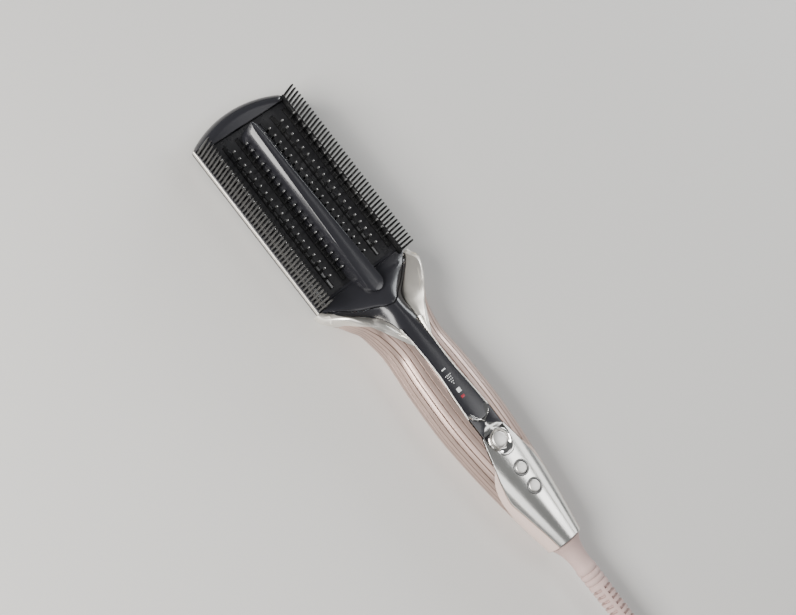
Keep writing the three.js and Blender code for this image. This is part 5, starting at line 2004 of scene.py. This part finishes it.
@dataclass
class SmallParts:
    """Screws in their wells and the silicone filler plug."""

    head: Head
    handle: Handle

    def screw(self, x: float, y: float, end: float, node: str) -> None:
        """A pan-head screw with a cross recess, which is seen from below.

        Args:
            x: X of its axis.
            y: Y of its axis.
            end: Height of its end.
            node: The CAD node that it stands for.
        """
        profile = [(0, 0.6), (1.5, 0.62), (2.0, 0.78), (2.2, 1.1), (2.2, 1.8)]
        profile += [(1.1, 1.8), (1.1, end), (0, end)]
        body = turned(profile, UP, Vector((x, y, 0)), 32)
        slots = [
            block((x - 1.25, y - 0.22, 0.3), (x + 1.25, y + 0.22, 1.15)),
            block((x - 0.22, y - 1.25, 0.3), (x + 0.22, y + 1.25, 1.15)),
        ]
        for slot in slots:
            body = carved(body, slot)
        BENCH.finish(body, f"{node}_cut", STEEL, [node], smooth_under=40)

    def filler_plug(self) -> None:
        """The plug's stem, flange and pull tab."""
        y, z = self.handle.plug
        profile = [
            (0, 9.5), (1.2, 9.5), (1.5, 9.8), (1.5, 14.5), (2.3, 14.5), (2.5, 14.7),
            (2.5, 15.8), (2.25, 16.1), (0, 16.1),
        ]
        stem = turned(profile, ACROSS, Vector((0, y, z)), 40)
        tab = block((15.6, y - 2.4, z - 0.6), (17.3, y + 2.4, z + 0.6), 0.3)
        BENCH.finish(gather([stem, tab]), "water_plug", SILICONE, ["filler_plug"], "filler_plug_body")

    def build(self) -> None:
        """Make the screws and the plug."""
        for i, (x, y) in enumerate(self.head.screws):
            self.screw(x, y, 7.2, f"head_screw_{i + 1}")
        for i, y in enumerate(self.handle.screws):
            self.screw(0, y, 9.0, f"handle_screw_{i + 1}")
        self.filler_plug()


@dataclass
class StrainRelief:
    """Ribbed rubber sleeve at the tail: smooth neck, ring grooves, then rows of paired slots."""

    root: float = TAIL_Y - 0.4
    first: float = TAIL_Y - 18
    end: float = TAIL_Y - 60
    neck: float = 5.2
    rib: float = 5.65
    tip: float = 5.0
    pitch: float = 3.33
    grooves: int = 3
    slots: int = 11
    slot: float = 1.6
    slot_depth: float = 1.9
    spine: float = 1.0
    turn: float = math.radians(22)

    def radius(self, y: float) -> float:
        """Radius over the ribs at y."""
        return lerp(self.rib, self.tip, (self.first - y) / (self.first - self.end))

    def profile(self) -> list[tuple[float, float]]:
        """Outline of the sleeve, from the part held in the tail to its end.

        Returns:
            Pairs of radius and y.
        """
        pairs = [(0, from_tail(5.4)), (7.2, from_tail(5.4)), (7.2, self.root), (7.9, self.root)]
        pairs += [(8.35, self.root - 0.35), (8.1, self.root - 1.2), (7.2, self.root - 2.8)]
        pairs += [(6.35, self.root - 5), (5.75, self.root - 7.6), (5.35, self.root - 10.5)]
        pairs += [(self.neck, self.root - 13), (self.neck + 0.05, self.first + 1.2)]
        pairs.append((5.6, self.first + 0.35))
        for i in range(self.grooves):
            y = self.first - 2 - i * self.pitch
            r = self.radius(y)
            pairs += [(r, y + 0.35), (r - 0.2, y), (r - 0.62, y - 0.15)]
            pairs += [(r - 0.62, y - 0.75), (r - 0.2, y - 0.9), (r, y - 1.25)]
        y = self.end + 0.9
        pairs += [(self.radius(y), y), (self.tip - 0.25, self.end + 0.25), (self.tip - 0.7, self.end)]
        return [*pairs, (0, self.end)]

    def build(self) -> bpy.types.Object:
        """Make the sleeve.

        Returns:
            The sleeve, which goes with the cord.
        """
        body = turned(self.profile(), ALONG, Vector((0, 0, AXIS_Z)), 72)
        rings = []
        for i in range(self.grooves, self.grooves + self.slots):
            y = self.first - 2 - i * self.pitch
            reach = self.radius(y) - self.slot_depth
            ring = [(reach, y - self.slot), (9, y - self.slot), (9, y), (reach, y), (reach, y - self.slot)]
            rings.append(turned(ring, ALONG, Vector(), 48))
        spines = block((-self.spine, self.end - 5, -12), (self.spine, self.first, 12))
        cutter = carved(gather(rings), spines)
        bmesh.ops.rotate(cutter, verts=cutter.verts[:], matrix=Matrix.Rotation(-self.turn, 3, "Y"))
        bmesh.ops.translate(cutter, verts=cutter.verts[:], vec=(0, 0, AXIS_Z))
        body = carved(body, cutter)
        return BENCH.finish(body, "ribbed_sleeve", DUSTY_PINK, ["strain_relief"], smooth_under=42)


@dataclass
class MainsCord:
    """The cord from the sleeve to the plug: a lead, a round coil of four layers and a short tail."""

    outer: float = 38.0
    pitch: float = 7.0
    layers: int = 4
    turns: int = 2
    straight: float = 2 * CORD_RADIUS
    start_y: float = TAIL_Y - 60.3
    per_turn: int = 24
    length: float = 1.73
    blade_pitch: float = 12.7
    blade: tuple[float, float] = (0.8, 3.2)

    @property
    def centre(self) -> Vector:
        """Middle of the coil."""
        return Vector((0, self.start_y - 76, 0))

    def coil_point(self, turn: float) -> Vector:
        """A point of the coil, which spirals in and out, a layer at a time.

        Args:
            turn: Turns from the coil's start.

        Returns:
            The point.
        """
        layer = turn / self.turns
        phase = layer % 2
        inward = phase if phase <= 1 else 2 - phase
        radius = self.outer - self.pitch * self.turns * inward
        nearest = min(self.layers - 1, max(1, round(layer)))
        climb = smooth((turn - nearest * self.turns) * 2 + 0.5)
        angle = math.pi + 2 * math.pi * turn
        z = CORD_RADIUS + self.pitch * (nearest - 1 + climb)
        return self.centre + Vector((radius * math.cos(angle), radius * math.sin(angle), z))

    def plug_place(self) -> tuple[float, float, float]:
        """X, rear y and axis height of the plug."""
        end = self.coil_point(self.layers * self.turns)
        return end.x + 12, end.y - self.straight - 68, CORD_RADIUS + 4.8

    def route(self) -> list[Vector]:
        """The cord's route, as the CAD model has it.

        Returns:
            Its points from the sleeve to the plug.
        """
        y, low = self.start_y, CORD_RADIUS
        count = self.layers * self.turns * self.per_turn
        coil = [self.coil_point(i / self.per_turn) for i in range(count + 1)]
        start = coil[0] + Vector((0, self.straight, 0))
        end = coil[-1] - Vector((0, self.straight, 0))
        plug_x, plug_y, plug_z = self.plug_place()
        lead = [
            (0, y, AXIS_Z),
            (0, y - 7, AXIS_Z),
            (-5, y - 17, AXIS_Z - 1.8),
            (-21, y - 30, low + 4),
            (start.x + 4, y - 45, low + 0.8),
            (start.x + 0.5, y - 58, low),
            (start.x, start.y + 7, low),
        ]
        tail = [
            (end.x, end.y - 7, end.z),
            (end.x - 1, end.y - 22, end.z - 4.5),
            (end.x + 3, end.y - 42, plug_z + 3),
            (plug_x - 1, plug_y + 10, plug_z),
            (plug_x, plug_y + 6, plug_z),
            (plug_x, plug_y + 0.3, plug_z),
        ]
        return [*map(Vector, lead), start, *coil, end, *map(Vector, tail)]

    def plug_ring(self, at: float, half: float, high: float) -> list[Vector]:
        """Squarish outline of the plug at one place.

        Args:
            at: Distance from the plug's rear end.
            half: Half of its width.
            high: Half of its height.

        Returns:
            Points in order.
        """
        x, y, z = self.plug_place()
        points = []
        for i in range(40):
            a = 2 * math.pi * (i + 0.5) / 40
            c, s = math.cos(a), math.sin(a)
            wide = half * math.copysign(abs(c) ** 0.6, c)
            tall = high * math.copysign(abs(s) ** 0.6, s)
            points.append(Vector((x + wide, y - at, z + tall)))
        return points

    def plug_grip(self) -> bpy.types.Object:
        """Make the plug's body, with grip ridges and the two slots for its blades.

        Returns:
            The piece.
        """
        width = Line((0, 4.4), (2, 4.9), (7, 5.2), (12, 7.6), (20, 9.8), (31, 11.3), (34, 11.0))
        height = Line((0, 4.4), (2, 4.9), (7, 5.2), (12, 6.8), (20, 7.6), (31, 7.9), (34, 7.7))
        steps = [0, 0.4, 1, 2, 4, 7, 9.5, 12, 14, 14.6, 15.2, 16.6, 17.2, 17.8, 19.2, 19.8, 20.4]
        steps += [21.8, 22.4, 23, 26, 29, 31, 32.6, 33.4, 33.85, 34]
        rings = []
        for at in steps:
            dip = 0.45 if any(low < at < low + 2.1 for low in (14.9, 17.5, 20.1)) else 0.0
            close = 0.6 * smooth((at - 32.6) / 1.4) + 0.5 * smooth((0.5 - at) / 0.5)
            rings.append(self.plug_ring(at, width(at) - dip - close, height(at) - dip - close))
        thick, tall = (size + 0.15 for size in self.blade)
        slots = [self.blade_block(side, thick, tall, 40) for side in (-1, 1)]
        body = carved(stacked(rings), gather(slots))
        return BENCH.finish(body, "plug_grip", DUSTY_PINK, ["plug_body"], smooth_under=34)

    def blade_block(
        self, side: int, thick: float, tall: float, end: float, edge: float = 0.0
    ) -> bmesh.types.BMesh:
        """A block on one blade's place.

        Args:
            side: 1 for the right blade and -1 for the left.
            thick: Half of its thickness.
            tall: Half of its height.
            end: Distance of its end from the plug's rear end.
            edge: Width of its edges' rounding.

        Returns:
            The block.
        """
        x, y, z = self.plug_place()
        middle = x + side * self.blade_pitch / 2
        return block((middle - thick, y - end, z - tall), (middle + thick, y - 28, z + tall), edge)

    def plug(self) -> list[bpy.types.Object]:
        """Make the plug and its two blades.

        Returns:
            The plug and its blades.
        """
        x, y, z = self.plug_place()
        made = [self.plug_grip()]
        for side, label in ((-1, "left"), (1, "right")):
            blade = self.blade_block(side, *self.blade, 50, 0.35)
            middle = Vector((x + side * self.blade_pitch / 2, y - 46, z))
            blade = carved(blade, rod(1.3, -3, 3, ACROSS, middle, 24))
            node = f"plug_pin_{label}"
            made.append(BENCH.finish(blade, f"plug_blade_{label}", BRASS, [node], smooth_under=34))
        return made

    def build(self, sleeve: bpy.types.Object) -> None:
        """Args:
            sleeve: The strain relief, which goes with the cord.
        """
        points = self.route()
        data = bpy.data.curves.new("mains_cord", "CURVE")
        data.dimensions = "3D"
        data.bevel_depth = CORD_RADIUS * MM
        data.bevel_resolution = 4
        data.resolution_u = 4
        data.use_fill_caps = True
        spline = data.splines.new("BEZIER")
        spline.bezier_points.add(len(points) - 1)
        for knot, point in zip(spline.bezier_points, points):
            knot.co = point * MM
            knot.handle_left_type = "AUTO"
            knot.handle_right_type = "AUTO"
        cord = bpy.data.objects.new("mains_cord", data)
        bpy.context.scene.collection.objects.link(cord)
        data.materials.append(DUSTY_PINK.build())
        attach(cord, BODY)
        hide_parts("cord_lead", "cord_coil", "cord_tail")
        pieces = [sleeve, *self.plug()]
        LOG.info("mains_cord: %d points, on %s", len(points), BODY)


@dataclass
class Softbox:
    """A soft light: its name, place, aim, size across and along the comb, and power."""

    name: str
    place: Vector
    aim: Vector
    size: tuple[float, float]
    power: float
    colour: Colour = (1.0, 1.0, 1.0)

    def build(self) -> None:
        """Hang the light."""
        data = bpy.data.lights.new(self.name, "AREA")
        data.shape = "RECTANGLE"
        data.size, data.size_y = self.size
        data.energy = self.power
        data.color = self.colour
        lamp = bpy.data.objects.new(self.name, data)
        back = (self.place - self.aim).normalized()
        side = Vector((0, 1, 0)).cross(back).normalized()
        turn = Matrix((side, back.cross(side), back)).transposed().to_4x4()
        lamp.matrix_world = Matrix.Translation(self.place) @ turn
        bpy.context.scene.collection.objects.link(lamp)


@dataclass
class Studio:
    """Camera, floor and lights."""

    tilt: float = math.radians(27.5)
    distance: float = 0.745
    lens: float = 65.6
    slant: tuple[float, float] = (-0.611, 0.791)
    offset: tuple[float, float] = (0.0002, 0.00865)

    def camera(self) -> None:
        """The camera, level with the comb's length and tilted round it as in the photograph."""
        side = Vector((math.cos(self.tilt), 0, math.sin(self.tilt)))
        towards = Vector((-math.sin(self.tilt), 0, math.cos(self.tilt)))
        length = Vector((0, 1, 0))
        right = side * self.slant[1] + length * self.slant[0]
        up = length * self.slant[1] - side * self.slant[0]
        data = bpy.data.cameras.new("camera")
        data.sensor_width = 36.0
        data.lens = self.lens
        data.clip_start, data.clip_end = 0.05, 20.0
        camera = bpy.data.objects.new("camera", data)
        aim = Vector((0, 0, AXIS_Z * MM)) + right * self.offset[0] + up * self.offset[1]
        turn = Matrix((right, up, towards)).transposed().to_4x4()
        camera.matrix_world = Matrix.Translation(aim + towards * self.distance) @ turn
        bpy.context.scene.collection.objects.link(camera)
        bpy.context.scene.camera = camera

    def floor(self) -> None:
        """The plain pale floor."""
        bm = bmesh.new()
        bmesh.ops.create_grid(bm, x_segments=2, y_segments=2, size=3.0)
        floor = to_object(bm, "floor")
        material = bpy.data.materials.new("pale_floor")
        material.use_nodes = True
        nodes = Nodes(material.node_tree)
        vector = nodes.add("ShaderNodeTexCoord").outputs["Object"]
        tone = nodes.blend(nodes.noise(vector, 1.4, 2.0), (0.62, 0.61, 0.59, 1), (0.68, 0.67, 0.65, 1))
        shader = material.node_tree.nodes["Principled BSDF"]
        nodes.feed(shader, Base_Color=tone, Roughness=0.6)
        floor.data.materials.append(material)

    def lights(self) -> None:
        """A key and a rim on either side, narrow strips on the crown, and lights for the tail plate."""
        world = bpy.data.worlds.new("studio")
        world.use_nodes = True
        back = world.node_tree.nodes["Background"]
        back.inputs["Color"].default_value = (0.62, 0.64, 0.66, 1)
        back.inputs["Strength"].default_value = 0.2
        bpy.context.scene.world = world
        middle = Vector((0, 0, 0.01))
        boxes = [
            Softbox("key", Vector((-0.95, 0.35, 0.75)), middle, (0.5, 0.9), 30.0, (1.0, 0.98, 0.95)),
            Softbox("crown", Vector((0.45, 0.15, 0.8)), middle, (0.07, 0.6), 0.3),
            Softbox("tail", Vector((0.44, -0.28, 0.76)), middle, (0.36, 0.3), 1.5),
            Softbox("tail_left", Vector((-0.55, -0.32, 0.7)), middle, (0.45, 0.35), 1.1),
            Softbox("tail_right", Vector((0.78, -0.3, 0.45)), middle, (0.3, 0.4), 0.9),
            Softbox("low_left", Vector((-1.0, 0.6, 0.25)), middle, (0.25, 1.0), 5.0, (1.0, 0.98, 0.95)),
            Softbox("rim", Vector((1.05, 0.3, 0.3)), middle, (0.35, 0.9), 10.0, (0.95, 0.98, 1.0)),
        ]
        for box in boxes:
            box.build()

    def build(self) -> None:
        """Set the whole studio."""
        self.camera()
        self.floor()
        self.lights()


def dress_cad() -> None:
    """Give each CAD node that stays its finish."""
    for finish, names in CAD_FINISHES.items():
        for name in names:
            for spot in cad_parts[name].material_slots:
                spot.material = finish.build()
            LOG.info("%s: CAD node, %s", name, finish.name)


def main() -> None:
    """Build the comb and the studio."""
    logging.basicConfig(level=logging.INFO, format="%(name)s: %(message)s")
    studio = Studio()
    studio.build()
    sleeve = StrainRelief().build()
    MainsCord().build(sleeve)
    head, grips, controls = Head(), Grips(), Controls()
    handle = Handle(grips)
    head.build()
    Combs().build()
    Pins().build()
    MistBar().build()
    Collar().build()
    DisplayStrip().build()
    grips.build()
    handle.build(controls.outline)
    controls.build()
    SmallParts(head, handle).build()
    dress_cad()
    LOG.info("%d pieces made", len(BENCH.made))


if __name__ == "__main__":
    main()
